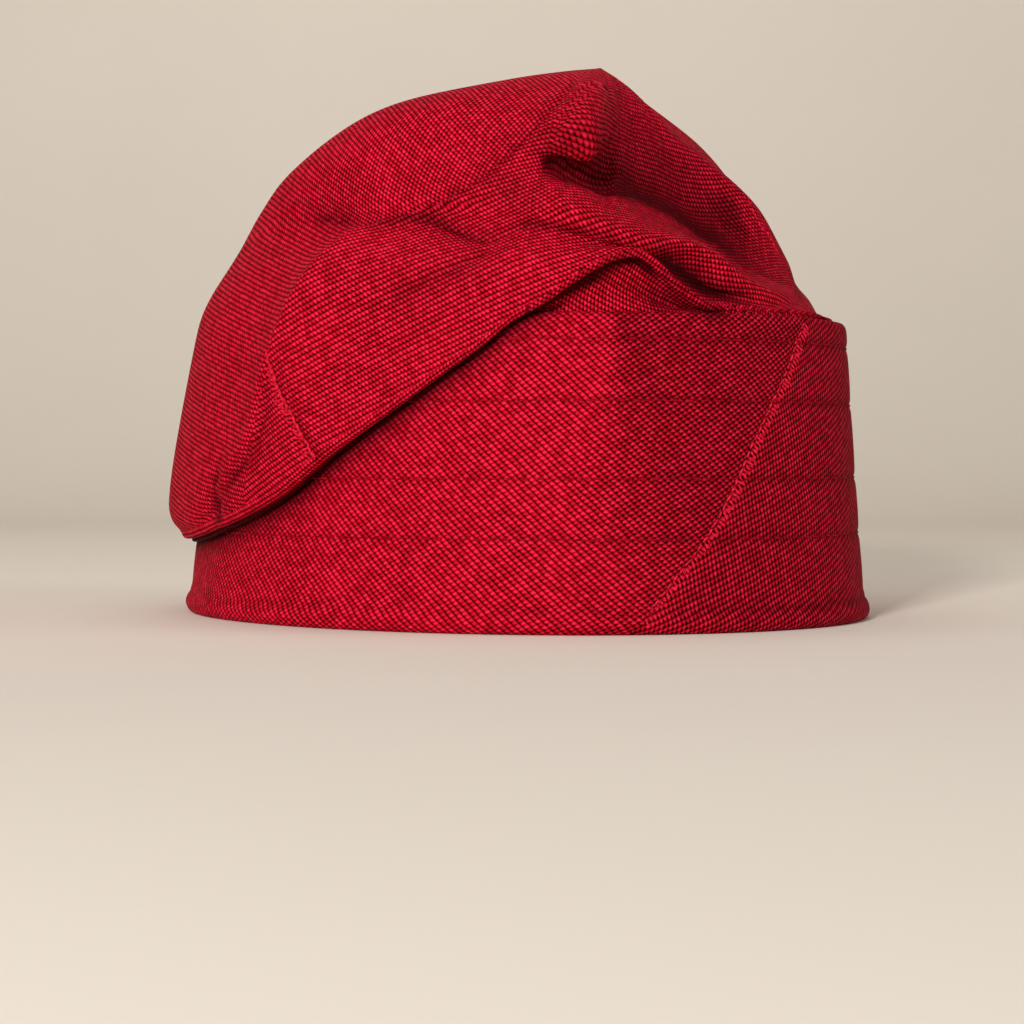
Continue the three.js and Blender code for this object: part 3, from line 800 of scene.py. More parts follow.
def mesh_object(
    name: str, points: Array, faces: list[list[int]], uv: Array | None = None,
    marks: dict[str, Array] | None = None,
) -> bpy.types.Object:
    """Makes a smooth mesh object with its place in its mesh.

    Args:
        name: The piece's name.
        points: Vertices in millimetres, in the wearer's frame.
        faces: Vertex numbers of each face, outwards.
        uv: The weave map in millimetres, one row for each face corner in order.
        marks: Named values for the finish, one number or vector for each vertex.

    Returns:
        The new object.
    """
    mesh = bpy.data.meshes.new(name)
    mesh.from_pydata(((points + rim_middle()) * MM).tolist(), [], faces)
    mesh.polygons.foreach_set("use_smooth", [True] * len(mesh.polygons))
    if uv is not None:
        mesh.uv_layers.new(name=WEAVE_MAP).uv.foreach_set("vector", uv.astype(np.float32).ravel())
    for mark, values in (marks or {}).items():
        kind, key = ("FLOAT", "value") if values.ndim == 1 else ("FLOAT_VECTOR", "vector")
        mesh.attributes.new(mark, kind, "POINT").data.foreach_set(key, values.astype(np.float32).ravel())
    mesh.update()
    piece = bpy.data.objects.new(name, mesh)
    bpy.context.scene.collection.objects.link(piece)
    return piece


def settle(piece: bpy.types.Object, node: str | None = None) -> bpy.types.Object:
    """Rides a piece on the part's one body and hides the solid that it stands for.

    Args:
        piece: The finished piece.
        node: The solid that it replaces, if any.

    Returns:
        The piece.
    """
    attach(piece, BODY)
    if node:
        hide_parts(node)
    log.info("%s: %d faces", piece.name, len(piece.data.polygons))
    return piece


class StitchGroup(SharedGroup):
    """The shared stitches: a short round thread on each point of a path, laid its way and a bit uneven."""

    NAME = "laid stitches"
    KIND = "GeometryNodeTree"
    NUMBERS = ("Length", "Width", "Unevenness")
    SEGMENTS = 8
    RINGS = 5
    SEED_STEP = 7.0

    @classmethod
    def _fill(cls, graph: Graph) -> None:
        """Adds the sockets and nodes of the stitches.

        Args:
            graph: The new group.
        """
        graph.tree.is_modifier = True
        graph.sockets("INPUT", "Geometry", "Geometry")
        graph.sockets("INPUT", "Float", *cls.NUMBERS)
        graph.sockets("INPUT", "Int", "Seed")
        graph.sockets("INPUT", "Material", "Thread")
        graph.sockets("OUTPUT", "Geometry", "Geometry")
        given = graph.add("NodeGroupInput").outputs
        ball = {"Segments": cls.SEGMENTS, "Rings": cls.RINGS, "Radius": 0.5}
        bead = graph.add("GeometryNodeMeshUVSphere", ball)
        smooth = graph.add("GeometryNodeSetShadeSmooth", {"Geometry": bead.outputs["Mesh"]})

        def mark(name: str) -> Socket:
            """Returns a vector that is kept on the points."""
            node = graph.add("GeometryNodeInputNamedAttribute", {"Name": name}, data_type="FLOAT_VECTOR")
            return node.outputs["Attribute"]

        def chance(middle: float, seed: int) -> Socket:
            """Draws a random number for each stitch.

            Args:
                middle: The middle of the numbers, which the unevenness spreads.
                seed: Which of the group's draws it is.

            Returns:
                The number.
            """
            seeds = graph.math("MULTIPLY_ADD", given["Seed"], cls.SEED_STEP, seed)
            spread = graph.add("FunctionNodeRandomValue", {2: -1.0, 3: 1.0, "Seed": seeds}, data_type="FLOAT")
            return graph.math("MULTIPLY_ADD", spread.outputs[1], given["Unevenness"], middle)

        stand = graph.add("FunctionNodeAlignRotationToVector", {"Vector": mark(NORMAL_NAME)}, axis="Z")
        lie = graph.add(
            "FunctionNodeAlignRotationToVector", {"Rotation": stand.outputs[0], "Vector": mark(WAY_NAME)},
            axis="X", pivot_axis="Z")
        turn = graph.add("ShaderNodeCombineXYZ", {"Z": chance(0.0, 3)})
        turned = graph.add(
            "FunctionNodeRotateRotation", {0: lie.outputs[0], 1: turn.outputs[0]}, rotation_space="LOCAL")
        length = graph.math("MULTIPLY", given["Length"], chance(1.0, 1))
        width = graph.math("MULTIPLY", given["Width"], chance(1.0, 2))
        size = graph.add("ShaderNodeCombineXYZ", {"X": length, "Y": width, "Z": width})
        laid = graph.add("GeometryNodeInstanceOnPoints", {
            "Points": given["Geometry"], "Instance": smooth.outputs[0], "Rotation": turned.outputs[0],
            "Scale": size.outputs[0]})
        real = graph.add("GeometryNodeRealizeInstances", {"Geometry": laid.outputs[0]})
        dressed = {"Geometry": real.outputs[0], "Material": given["Thread"]}
        done = graph.add("GeometryNodeSetMaterial", dressed)
        graph.add("NodeGroupOutput", {"Geometry": done.outputs[0]})


ROW_THREAD = ThreadFinish("dull red thread", (0.14, 0.001, 0.004), (0.42, 0.004, 0.016))
SEAM_THREAD = ThreadFinish("red thread", (0.38, 0.003, 0.012), (0.85, 0.02, 0.06))


@dataclass(frozen=True)
class Stitch:
    """One kind of stitch: how far apart, how long and how thick it is, and how it lies on its line.

    It lies aside to the line's right, going down it, and is turned from the line in degrees. The lift is how
    far its middle stands out from the cloth, and the unevenness is how far lengths and turns differ.
    """

    pitch: float
    length: float
    width: float
    aside: float = 0.0
    turn: float = 0.0
    lift: float = 0.12
    unevenness: float = 0.15


@dataclass(frozen=True)
class Stitching:
    """A run of stitches: where each one lies, the way it points and the way it faces."""

    name: str
    places: Array
    ways: Array
    normals: Array
    stitch: Stitch
    slot: str
    seed: int

    def build(self, thread: bpy.types.Material) -> bpy.types.Object:
        """Lays the stitches.

        Args:
            thread: The thread's material.

        Returns:
            The finished stitches as one plain mesh.
        """
        marks = {WAY_NAME: self.ways, NORMAL_NAME: self.normals}
        piece = mesh_object(self.name, self.places, [], marks=marks)
        modifier = piece.modifiers.new("stitches", "NODES")
        modifier.node_group = StitchGroup.get()
        values = {
            "Length": self.stitch.length * MM, "Width": self.stitch.width * MM,
            "Unevenness": self.stitch.unevenness, "Seed": self.seed, "Thread": thread,
        }
        for item in modifier.node_group.interface.items_tree:
            if item.in_out == "INPUT" and item.name in values:
                modifier[item.identifier] = values[item.name]
        seen = piece.evaluated_get(bpy.context.evaluated_depsgraph_get())
        mesh = bpy.data.meshes.new_from_object(seen)
        piece.modifiers.clear()
        piece.data = mesh
        for name in marks:
            if name in mesh.attributes:
                mesh.attributes.remove(mesh.attributes[name])
        return settle(piece)


@dataclass(frozen=True)
class Run:
    """A line on a surface that is sewn along: its places and the normals there."""

    places: Array
    normals: Array

    def stitches(self, name: str, stitch: Stitch, slot: str, seed: int) -> Stitching:
        """Lays stitches along the line.

        Args:
            name: The piece's name.
            stitch: The kind of stitch.
            slot: A material slot's name, which is kept on the stitches but not used.
            seed: Which chance is taken.

        Returns:
            The stitches.
        """
        lengths = lengths_along(self.places)
        at = np.arange(stitch.pitch / 2, lengths[-1], stitch.pitch)

        def read(values: Array) -> Array:
            """Returns vectors of the line, read at the stitches."""
            return np.stack([np.interp(at, lengths, values[:, k]) for k in range(3)], -1)

        normals = unit(read(self.normals))
        ways = unit(read(np.gradient(self.places, axis=0)))
        right = unit(np.cross(normals, ways))
        places = read(self.places) + right * stitch.aside + normals * stitch.lift
        angle = math.radians(stitch.turn)
        return Stitching(
            name, places, ways * math.cos(angle) + right * math.sin(angle), normals, stitch, slot, seed)


@dataclass
class Band:
    """The upright band: doubled cloth with a rolled hem, quilted by rows of stitches and closed by one seam.

    A scale is the millimetres of cloth for each degree round the cap. The outlines of the hem and the top
    edge give places out from the face, and heights above the rim or below the top. The last number of a
    place on the top edge is its share of the relief. A wave is its turns round the cap, its start in degrees
    and its lean in degrees for each millimetre of height.
    """

    length: float = 203.0
    width: float = 171.0
    height: float = 79.0
    wall: float = 2.8
    taper: float = 5.3
    fullest_at: float = 45.0
    drawn_in: float = 1.6
    columns: int = 540
    face_rows: tuple[float, float, float] = (8.5, 77.0, 0.85)
    hem: Outline = (
        (-2.4, 0.0), (-0.9, 0.0), (0.15, 0.25), (0.75, 0.8), (1.15, 1.6), (1.3, 2.5), (1.25, 3.5),
        (1.05, 4.6), (0.9, 5.2), (0.8, 5.7), (0.65, 6.2), (0.3, 7.0), (0.08, 7.7))
    hem_relief: tuple[float, float] = (0.5, 3.0)
    hem_middle: float = 2.8
    hem_reach: float = 2.6
    top: Outline = (
        (0.0, 1.6, 0.7), (-0.15, 0.8, 0.3), (-0.6, 0.2, 0), (-1.4, 0.0, 0), (-2.2, 0.2, 0), (-2.65, 0.8, 0),
        (-2.8, 1.8, 0))
    inner_rows: tuple[float, ...] = (70.0, 60.0, 50.0, 40.0, 30.0, 20.0, 10.0, 4.0, 1.0)
    inner_hem: tuple[float, float] = (-2.65, 0.15)
    weft_turn: float = -45.0
    left_weft_turn: float = 24.0
    stitch_rows: tuple[float, ...] = (5.7, 23.1, 37.9, 57.1, 72.3)
    row_stitch: Stitch = Stitch(3.6, 3.1, 0.5, lift=0.1)
    row_phase: float = 0.37
    channel_depth: float = 0.32
    channel_width: float = 1.0
    # Painted shade in the stitch channels and the slanted seam's groove, with a smaller share before the
    # crease
    channel_shade: float = 0.25
    tight_shade: float = 0.4
    puff: float = 0.25
    puff_form: float = 0.7
    seam: Path = (
        (5.0, 79.0, 0), (3.97, 76.8, 0), (0.17, 67.5, 0), (-4.73, 55.8, 0), (-8.84, 46.1, 0),
        (-11.44, 37.8, 0), (-13.94, 31.3, 0), (-17.24, 23.0, 0), (-22.34, 13.5, 0), (-26.85, 4.4, 0),
        (-28.95, 0.0, 0))
    seam_scale: float = 1.35
    seam_depth: float = 0.6
    seam_width: float = 0.9
    seam_ridge: float = 0.3
    seam_ridge_aside: float = 2.4
    seam_ridge_width: float = 1.8
    seam_ends: tuple[float, float] = (77.5, 2.4)
    seam_thread: Stitch = Stitch(2.5, 2.3, 0.6)
    seam_overlock: Stitch = Stitch(1.15, 2.2, 0.55, aside=1.35, turn=70.0)
    back_scale: float = 1.7
    back_thread: Stitch = Stitch(2.5, 2.3, 0.5)
    crease: float = 1.5
    crease_azimuth: float = -31.0
    crease_scale: float = 1.55
    crease_before: float = 26.0
    crease_past: float = 7.0
    crease_past_low: float = 9.0
    crease_blur: float = 2.2
    crease_blur_low: float = 20.0
    crease_blur_form: float = 1.2
    crease_edge: tuple[float, float] = (-0.6, 1.0)
    crease_fade: tuple[float, float] = (20.0, 100.0)
    # Painted shade on the cloth past the soft crease
    crease_shade: float = 0.28
    wave_height: float = 0.16
    waves: tuple[tuple[float, float, float], ...] = ((7.0, 40.0, 1.2), (12.0, 0.0, -2.1))
    # How open the weave is; the open weave's darker hollows are partly the cloth's own look and partly
    # painted shade, most of all past the crease
    loose: float = 0.15
    loose_and_shade_past_crease: float = 0.75
    loose_left: float = 0.2
    left_side: tuple[float, float] = (60.0, 110.0)
    # Painted shadow that the crown's fold casts on the band below its edge
    fold_shade: float = 0.92
    fold_shade_reach: float = 4.5
    fold_shade_form: float = 1.5
    fold_shade_above: float = 4.0
    cut_length: float = 590.0
    finish: ClothFinish = ClothFinish("red cloth on the bias", 1.38, 1.14, 0.0, -0.287, 0.0, 0.3)

    def reach(self, azimuth: Array, height: Array) -> Array:
        """Measures the plain band.

        Args:
            azimuth: Azimuths.
            height: Heights.

        Returns:
            How far the outside is from the band's middle.
        """
        taper = self.taper + self.drawn_in * (1 - np.cos(np.radians(azimuth - self.fullest_at)))
        inset = taper * np.clip(height, 0, self.height) / self.height
        long, short = self.length / 2 - inset, self.width / 2 - inset
        angle = np.radians(azimuth)
        return long * short / np.hypot(long * np.sin(angle), short * np.cos(angle))

    def seam_azimuth(self, height: Array) -> Array:
        """Returns the azimuth of the slanted seam at heights."""
        marks = np.array(self.seam)[::-1]
        return np.interp(height, marks[:, 1], marks[:, 0])

    def seam_across(self, azimuth: Array, height: Array) -> Array:
        """Returns how far places are past the slanted seam."""
        return (azimuth - self.seam_azimuth(height)) * self.seam_scale

    def relief(self, azimuth: Array, height: Array) -> Array:
        """Works out how far the sewn cloth stands out: puffs, channels, seams, the soft crease and waves.

        Args:
            azimuth: Azimuths.
            height: Heights.

        Returns:
            Millimetres out from the plain band.
        """
        rows = np.array((0.0, *self.stitch_rows, self.height))
        out = np.zeros(np.broadcast(azimuth, height).shape)
        for low, high in zip(rows[:-1], rows[1:]):
            share = np.clip((height - low) / (high - low), 0, 1)
            out = out + self.puff * np.sin(math.pi * share) ** self.puff_form * (share > 0) * (share < 1)
        for row in self.stitch_rows:
            out = out - self.channel_depth * bell(height - row, self.channel_width)
        across = self.seam_across(azimuth, height)
        for distance in (across, (180 - np.abs(azimuth)) * self.back_scale):
            out = out - self.seam_depth * bell(distance, self.seam_width)
        out = out + self.seam_ridge * bell(across - self.seam_ridge_aside, self.seam_ridge_width)
        past = (azimuth - self.crease_azimuth) * self.crease_scale
        low_fall = self.crease_past + self.crease_past_low * (1 - height / self.height)
        fall = np.where(past < 0, self.crease_before, low_fall)
        out = out + self.crease * np.exp(-np.abs(past) / fall)
        for turns, start, lean in self.waves:
            out = out + self.wave_height * np.sin(np.radians(azimuth * turns + start + height * lean))
        return out

    def profile(self) -> tuple[Array, Array, Array]:
        """Lays out the section, from the rim up the face, over the top and down the inside.

        Returns:
            Places out from the face, heights, and shares of the sewn relief.
        """
        face = np.arange(*self.face_rows)
        hem, top = np.array(self.hem), np.array(self.top)
        inner = np.array([*((-self.wall, up) for up in self.inner_rows), self.inner_hem])
        outs = np.concatenate([hem[:, 0], 0 * face, top[:, 0], inner[:, 0]])
        ups = np.concatenate([hem[:, 1], face, self.height - top[:, 1], inner[:, 1]])
        hem_shares = smoothstep(hem[:, 1], *self.hem_relief)
        return outs, ups, np.concatenate([hem_shares, 1 + 0 * face, top[:, 2], 0 * inner[:, 0]])

    def points(self, azimuth: Array, outs: Array, ups: Array, shares: Array) -> Array:
        """Makes the sewn band's grid.

        Args:
            azimuth: The azimuth of each column.
            outs: The section's places out from the face.
            ups: The section's heights.
            shares: The section's shares of the sewn relief.

        Returns:
            Points, with columns along the first axis and the section along the second.
        """
        az, up = azimuth[:, None], ups[None, :]
        out = self.reach(az, up) + outs + shares * self.relief(az, up)
        points = bearing(azimuth)[:, None, :] * out[..., None]
        points[..., 2] = up
        return points

    def outside(self, azimuth: Array, height: Array) -> Array:
        """Finds places on the sewn outer face.

        Args:
            azimuth: Azimuths.
            height: Heights.

        Returns:
            One place for each pair.
        """
        hem = bell(height - self.hem_middle, self.hem_reach)
        out = self.reach(azimuth, height) + self.relief(azimuth, height) + hem
        places = bearing(azimuth) * out[..., None]
        places[..., 2] = height
        return places

    def normals(self, azimuth: Array, height: Array) -> Array:
        """Finds the normals of the sewn outer face.

        Args:
            azimuth: Azimuths.
            height: Heights.

        Returns:
            One unit vector for each pair.
        """
        here = self.outside(azimuth, height)
        round_it = self.outside(azimuth + NUDGE_ROUND, height) - here
        return unit(np.cross(round_it, self.outside(azimuth, height + NUDGE_UP) - here))

    def stitch_line(self, row: float, seed: int) -> Stitching:
        """Lays one row of quilting stitches round the band.

        Args:
            row: The row's height.
            seed: The row's number, which also sets where its stitches start.

        Returns:
            The stitches.
        """
        fine = np.linspace(-180, 180, FINE_STEPS)
        lengths = lengths_along(self.outside(fine, np.full_like(fine, row)))
        count = round(lengths[-1] / self.row_stitch.pitch)
        at = (np.arange(count) + self.row_phase * seed % 1) * lengths[-1] / count
        azimuth = np.interp(at, lengths, fine)
        level = np.full_like(azimuth, row)
        normals = self.normals(azimuth, level)
        ways = unit(self.outside(azimuth + NUDGE_ROUND, level) - self.outside(azimuth - NUDGE_ROUND, level))
        places = self.outside(azimuth, level) + normals * self.row_stitch.lift
        return Stitching(f"band_stitches_{seed}", places, ways, normals, self.row_stitch, "band_cloth", seed)

    def seam_stitches(self) -> list[Stitching]:
        """Lays the threads of the band's two seams.

        Returns:
            The back seam's thread, the slanted seam's thread and the overlock rungs beside it.
        """
        height = np.linspace(*self.seam_ends, SEAM_STEPS)
        azimuth, behind = self.seam_azimuth(height), np.full_like(height, 180.0)
        line = Run(self.outside(azimuth, height), self.normals(azimuth, height))
        back = Run(self.outside(behind, height), self.normals(behind, height))
        return [
            back.stitches("band_back_seam_thread", self.back_thread, "band_cloth", seed=13),
            line.stitches("band_seam_thread", self.seam_thread, "band_cloth", seed=11),
            line.stitches("band_seam_overlock", self.seam_overlock, "band_cloth", seed=12),
        ]

    def weave(self, azimuth: Array, along: Array, turned: float) -> Array:
        """Makes a weave map from lengths round the band and up its section.

        Args:
            azimuth: The azimuth of each column.
            along: The length up the section at each of its places.
            turned: How far the rows are turned to the bias, in degrees.

        Returns:
            The map of the grid.
        """
        fine = np.linspace(-180, 180, FINE_STEPS)
        ground = bearing(fine) * self.reach(fine, np.full_like(fine, self.height / 2))[:, None]
        around = np.interp(azimuth, fine, lengths_along(ground))
        return turned_map(*np.broadcast_arrays(around[:, None], along[None, :]), turned)

    def past_crease(self, azimuth: Array, height: Array) -> Array:
        """Finds which cloth is past the soft crease.

        Args:
            azimuth: Azimuths.
            height: Heights.

        Returns:
            0 before the crease and 1 past it, fading out again round the wearer's left side.
        """
        blur = self.crease_blur + self.crease_blur_low * (1 - height / self.height) ** self.crease_blur_form
        past = smoothstep((azimuth - self.crease_azimuth) / blur, *self.crease_edge)
        return past * (1 - smoothstep(azimuth, *self.crease_fade))

    def openness_and_shade(self, azimuth: Array, height: Array) -> Array:
        """Returns how open the weave is: tight as ropes up to the soft crease, and open past it."""
        # The open weave's deeper, darker hollows are partly the cloth's own look and partly painted shade,
        # most of all past the crease
        past = self.loose_and_shade_past_crease * self.past_crease(azimuth, height)
        return self.loose + past + self.loose_left * smoothstep(azimuth, *self.left_side)

    def shade(self, azimuth: Array, height: Array, edge: Array, over: Array) -> Array:
        """Works out the painted shade: the shadow of the fold over the band, and the shade of its channels,
        its slanted seam and the cloth past its crease.

        Args:
            azimuth: Azimuths.
            height: Heights.
            edge: The height of the crown's fold there.
            over: How far the crown is folded over there, from 0 to 1.

        Returns:
            The painted shade, from 0 to 1.
        """
        below = np.maximum(edge - height, 0)
        hung = self.fold_shade * over * np.exp(-((below / self.fold_shade_reach) ** self.fold_shade_form))
        hung = hung * (edge < self.height + self.fold_shade_above)
        past = self.past_crease(azimuth, height)
        sewn = sum(bell(height - row, self.channel_width) for row in self.stitch_rows)
        sewn = sewn * (self.tight_shade + (1 - self.tight_shade) * past)
        seam = bell(self.seam_across(azimuth, height), self.seam_width)
        return np.maximum(hung, self.crease_shade * past + self.channel_shade * np.maximum(sewn, seam))

    def azimuths(self) -> Array:
        """Returns the azimuths of the mesh's columns."""
        return np.linspace(-180, 180, self.columns, endpoint=False)

    def corner_map(self, column: Array, place: Array, outs: Array, ups: Array) -> Array:
        """Makes the weave map of every face corner, with one direction on each side of the slanted seam.

        Args:
            column: The column of each face's corners.
            place: The place in the closed section of each face's corners.
            outs: The section's places out from the face.
            ups: The section's heights.

        Returns:
            The map, in the order of the faces.
        """
        section = np.stack([outs, ups], -1)
        along = lengths_along(np.concatenate([section, section[:1]]))
        wide = np.append(self.azimuths(), 180.0)
        last = self.columns - 1
        turned = column.copy()
        turned[(column.max(1) == last) & (column.min(1) == 0)] = np.array([last, last + 1, last + 1, last])
        past = wide[turned].mean(1) > self.seam_azimuth(ups[place % len(ups)].mean(1))
        left, right = (
            self.weave(wide, along, turn)[turned, place] for turn in (self.left_weft_turn, self.weft_turn))
        return np.where(past[:, None, None], left, right).reshape(-1, 2)

    def build(self, edge: Array, over: Array) -> bpy.types.Object:
        """Makes the band.

        Args:
            edge: The height of the crown's fold over each column of the band.
            over: How far the crown is folded over each column, from 0 to 1.

        Returns:
            The finished band.
        """
        azimuth = self.azimuths()
        outs, ups, shares = self.profile()
        points = self.points(azimuth, outs, ups, shares)
        rows = len(ups)
        quads = ring_faces(self.columns, rows + 1)
        column, place = quads // (rows + 1), quads % (rows + 1)
        faces = column * rows + place % rows
        wide, high = azimuth[:, None], ups[None, :]
        marks = {
            LOOSE_AND_SHADE_NAME: self.openness_and_shade(wide, high).ravel(),
            SHADE_NAME: self.shade(wide, high, edge[:, None], over[:, None]).ravel(),
        }
        uv = self.corner_map(column, place, outs, ups)
        piece = mesh_object("band_cloth", points.reshape(-1, 3), faces.tolist(), uv, marks)
        piece.data.materials.append(self.finish.material())
        settle(piece, "band")
        return piece


@dataclass
class Crown:
    """The crown: a soft bag of two sewn panels that stands in folds and flops over the band.

    A lean is an azimuth, how far the top leans that way, and the height that the lean starts at. The nose is
    the part of the front fold that stands above the band and shows its inside.
    """

    band: Band
    wall: float = 1.6
    folded_wall: float = 0.3
    gap: float = 0.4
    tuck: float = 14.0
    edge_up: float = 0.3
    rise_up: float = 1.0
    lean_in: float = 0.3
    height: float = 147.3
    leans: tuple[tuple[float, float, float], ...] = ((45.0, 21.5, 79.0), (-45.0, 32.0, 100.0))
    raised: tuple[float, float] = (-6.0, 4.0)
    folds_clear: tuple[float, float] = (2.0, 6.0)
    fold_spread: float = 2.8
    room_needed: tuple[float, float] = (0.15, 0.7)
    room_columns: int = 2
    map_share: float = 0.6
    shade_scales: tuple[tuple[int, float], ...] = ((2, 0.9), (7, 5.0))
    shade_from: float = 0.15
    shade_share: float = 0.75
    under_share: float = 0.92
    plain_rows: int = 3
    nose: tuple[float, float] = (-44.0, 60.0)
    nose_turn: float = -25.0
    nose_lit: tuple[float, float] = (-34.0, -29.0)
    nose_wall: tuple[float, float] = (-25.0, -22.0)
    # Even painted shade on the wall of the nose, which is turned from the light
    nose_wall_shade: float = 0.4
    # How open the weave is; the open weave's darker hollows on the far side are partly the cloth's own look
    # and partly painted shade
    loose: float = 0.35
    loose_and_shade_open: float = 0.45
    open_from: tuple[float, float] = (-45.0, -25.0)
    open_to: tuple[float, float] = (50.0, 100.0)
    cut_size: tuple[float, float] = (415.0, 278.0)
    cut_area: float = 75700.0
    front_columns: int = 216
    back_columns: int = 208
    rows: int = 166
    inner_strides: tuple[int, int] = (2, 4)
    left_edge: Path = (
        (-50, 146, 0), (-53.3, 141.7, 0), (-56, 132.2, 0), (-58, 121.2, 0), (-60.7, 112.3, 0),
        (-65.3, 106.2, 0), (-78.3, 101.1, 0), (-80, 92.3, 0), (-84.3, 78.1, 0), (-88.5, 66.2, 0),
        (-90.5, 57.7, 0), (-92.8, 47.6, 0), (-95.5, 40.6, 0), (-97.5, 33, 0))
    right_edge: Path = (
        (40, 145, 0), (33, 122, 0), (29.5, 114.8, 0), (24.5, 107.9, 0), (18.5, 102.4, 0), (15.5, 98, 0),
        (19, 92, 0), (24.5, 87, 0), (25, 83, 0))
    edge_window: int = 7
    side_seam: Path = (
        (-87.3, 68, 0), (-87, 65.5, 0), (-86, 60.3, 0), (-84.3, 55.1, 0), (-82.7, 49.5, 0), (-80.7, 43.5, 0))
    seam_blur: float = 0.8
    side_thread: Stitch = Stitch(2.0, 2.6, 0.9, lift=0.75, unevenness=0.25)
    side_overlock: Stitch = Stitch(1.1, 2.6, 0.6, aside=-1.7, turn=65.0, lift=0.3, unevenness=0.5)
    far_seam_heights: tuple[float, float] = (98.0, 114.0)
    far_thread: Stitch = Stitch(2.0, 1.7, 0.45)
    finish: ClothFinish = ClothFinish("red cloth", 1.27, 1.06, 0.5, 0.0, 0.3, 0.28)
    knots: Array = field(init=False)
    row_knots: Array = field(init=False)
    azimuth: Array = field(init=False)
    bare: Array = field(init=False)
    plain: Array = field(init=False)
    points: Array = field(init=False)
    normals: Array = field(init=False)
    # Painted shade drawn along the folds, and painted shade under the fold
    deep: Array = field(init=False)
    under: Array = field(init=False)

    def __post_init__(self) -> None:
        """Sets the knots of the stations and of the mesh's rows."""
        self.knots = np.concatenate([[0], np.cumsum(np.sqrt([span for _, span in STATIONS[:-1]]))])
        self.row_knots = np.linspace(0, self.knots[-1], self.rows)

    def knot(self, name: str) -> float:
        """Returns the knot of a named station."""
        return float(self.knots[[station for station, _ in STATIONS].index(name)])

    def between(self, at: Array, start: str, end: str) -> Array:
        """Returns a smooth step from 0 at one named station to 1 at another, read at knot values."""
        return smoothstep(at, self.knot(start), self.knot(end))

    def axis(self, height: Array) -> Array:
        """Finds the middle of the leaning crown.

        Args:
            height: Heights.

        Returns:
            A place for each height.
        """
        middle = np.stack([0 * height, 0 * height, height], -1)
        for azimuth, reach, start in self.leans:
            lean = reach * smoothstep(height, start, self.height)
            middle = middle + bearing(np.array(azimuth)) * lean[..., None]
        return middle

    def section(self, azimuth: Array) -> dict[str, Array]:
        """Reads the section table.

        Args:
            azimuth: Azimuths.

        Returns:
            The table's columns by name, read at the azimuths.
        """
        table = np.array(SECTIONS, float)
        turned = (azimuth - table[0, 0]) % 360 + table[0, 0]
        rows = np.concatenate([table[-2:], table, table[:2]])
        rows[:2, 0] -= 360
        rows[-2:, 0] += 360
        read = cubic(rows[:, 0], rows, turned)
        section = {name: read[..., i] for i, name in enumerate(SECTION_COLUMNS)}
        section["over"] = np.clip(section["over"], 0, 1)
        return section

    def stations(self, azimuth: Array) -> Array:
        """Places every station of the sections.

        Args:
            azimuth: Azimuths.

        Returns:
            Reach and height, with the stations along the first axis and the azimuths along the second.
        """
        section = self.section(azimuth)
        top, fold_up = self.band.height, section["fold_up"]
        level = np.ones_like(azimuth)

        def pair(reach: Array, height: Array) -> Array:
            """Returns a station's reach and height at every azimuth."""
            return np.stack([reach * level, height * level], -1)

        def inside(height: float) -> Array:
            """Returns the reach just inside the band."""
            return self.band.reach(azimuth, height) - self.band.wall - self.gap

        def spot(place: Place, fold_share: float) -> Array:
            """Places a folded station.

            Args:
                place: Its place on the fold.
                fold_share: How much of the fold's standing out it has.

            Returns:
                Its reach and height at every azimuth.
            """
            height = top + (fold_up - top) * place.at + place.lift
            out = section["drop_out"] + place.out + fold_share * section["fold_out"]
            return pair(self.band.reach(azimuth, height) + out, height)

        rise = pair(inside(top), top + self.rise_up)
        belly_up = section["belly_up"]
        belly = pair(self.band.reach(azimuth, belly_up) + section["belly_out"], belly_up)
        raised = smoothstep(fold_up - top, *self.raised)[..., None]
        over = section["over"][..., None]
        folded = []
        for station in FOLDED:
            hang, stand = spot(station.hang, station.fold_share), spot(station.stand, station.fold_share)
            plain = rise + (belly - rise) * station.share
            folded.append(plain + (hang + (stand - hang) * raised - plain) * over)
        upper = [
            pair(section[f"{name}_reach"], section[f"{name}_up"])
            for name in ("side", "crease", "roll", "valley", "crest", "brow")
        ]
        return np.stack([
            pair(inside(top - self.tuck), top - self.tuck),
            pair(inside(top) + self.lean_in * np.minimum(0, section["drop_out"]), top + self.edge_up),
            *folded, belly, *upper, pair(0.0, self.height),
        ])

    def unfolded(self, azimuth: Array, at: Array) -> Array:
        """Finds points of the crown before its folds.

        Args:
            azimuth: Azimuths.
            at: A knot value for each azimuth.

        Returns:
            One point for each pair.
        """
        stations = self.stations(azimuth)
        slopes = knot_slopes(self.knots, stations)
        n, k = np.arange(len(azimuth)), span_at(self.knots, at)
        gap = np.diff(self.knots)[k][:, None]
        share = (at - self.knots[k])[:, None] / gap
        read = hermite(share, gap, (stations[k, n], stations[k + 1, n]), (slopes[k, n], slopes[k + 1, n]))
        return self.axis(read[:, 1]) + bearing(azimuth) * read[:, :1]

    def knot_at(self, azimuth: float, height: float) -> float:
        """Finds a height on the outside, from the top down.

        Args:
            azimuth: An azimuth.
            height: The height that is looked for.

        Returns:
            The knot value there.
        """
        over = float(self.section(np.array([azimuth]))["over"][0])
        low = self.knot("lip") + (self.knot("foldTop") - self.knot("lip")) * over
        tries = np.linspace(self.knots[-1], low, KNOT_TRIES)
        heights = self.unfolded(np.full(KNOT_TRIES, azimuth), tries)[:, 2]
        return float(tries[np.argmin(np.abs(heights - height))])

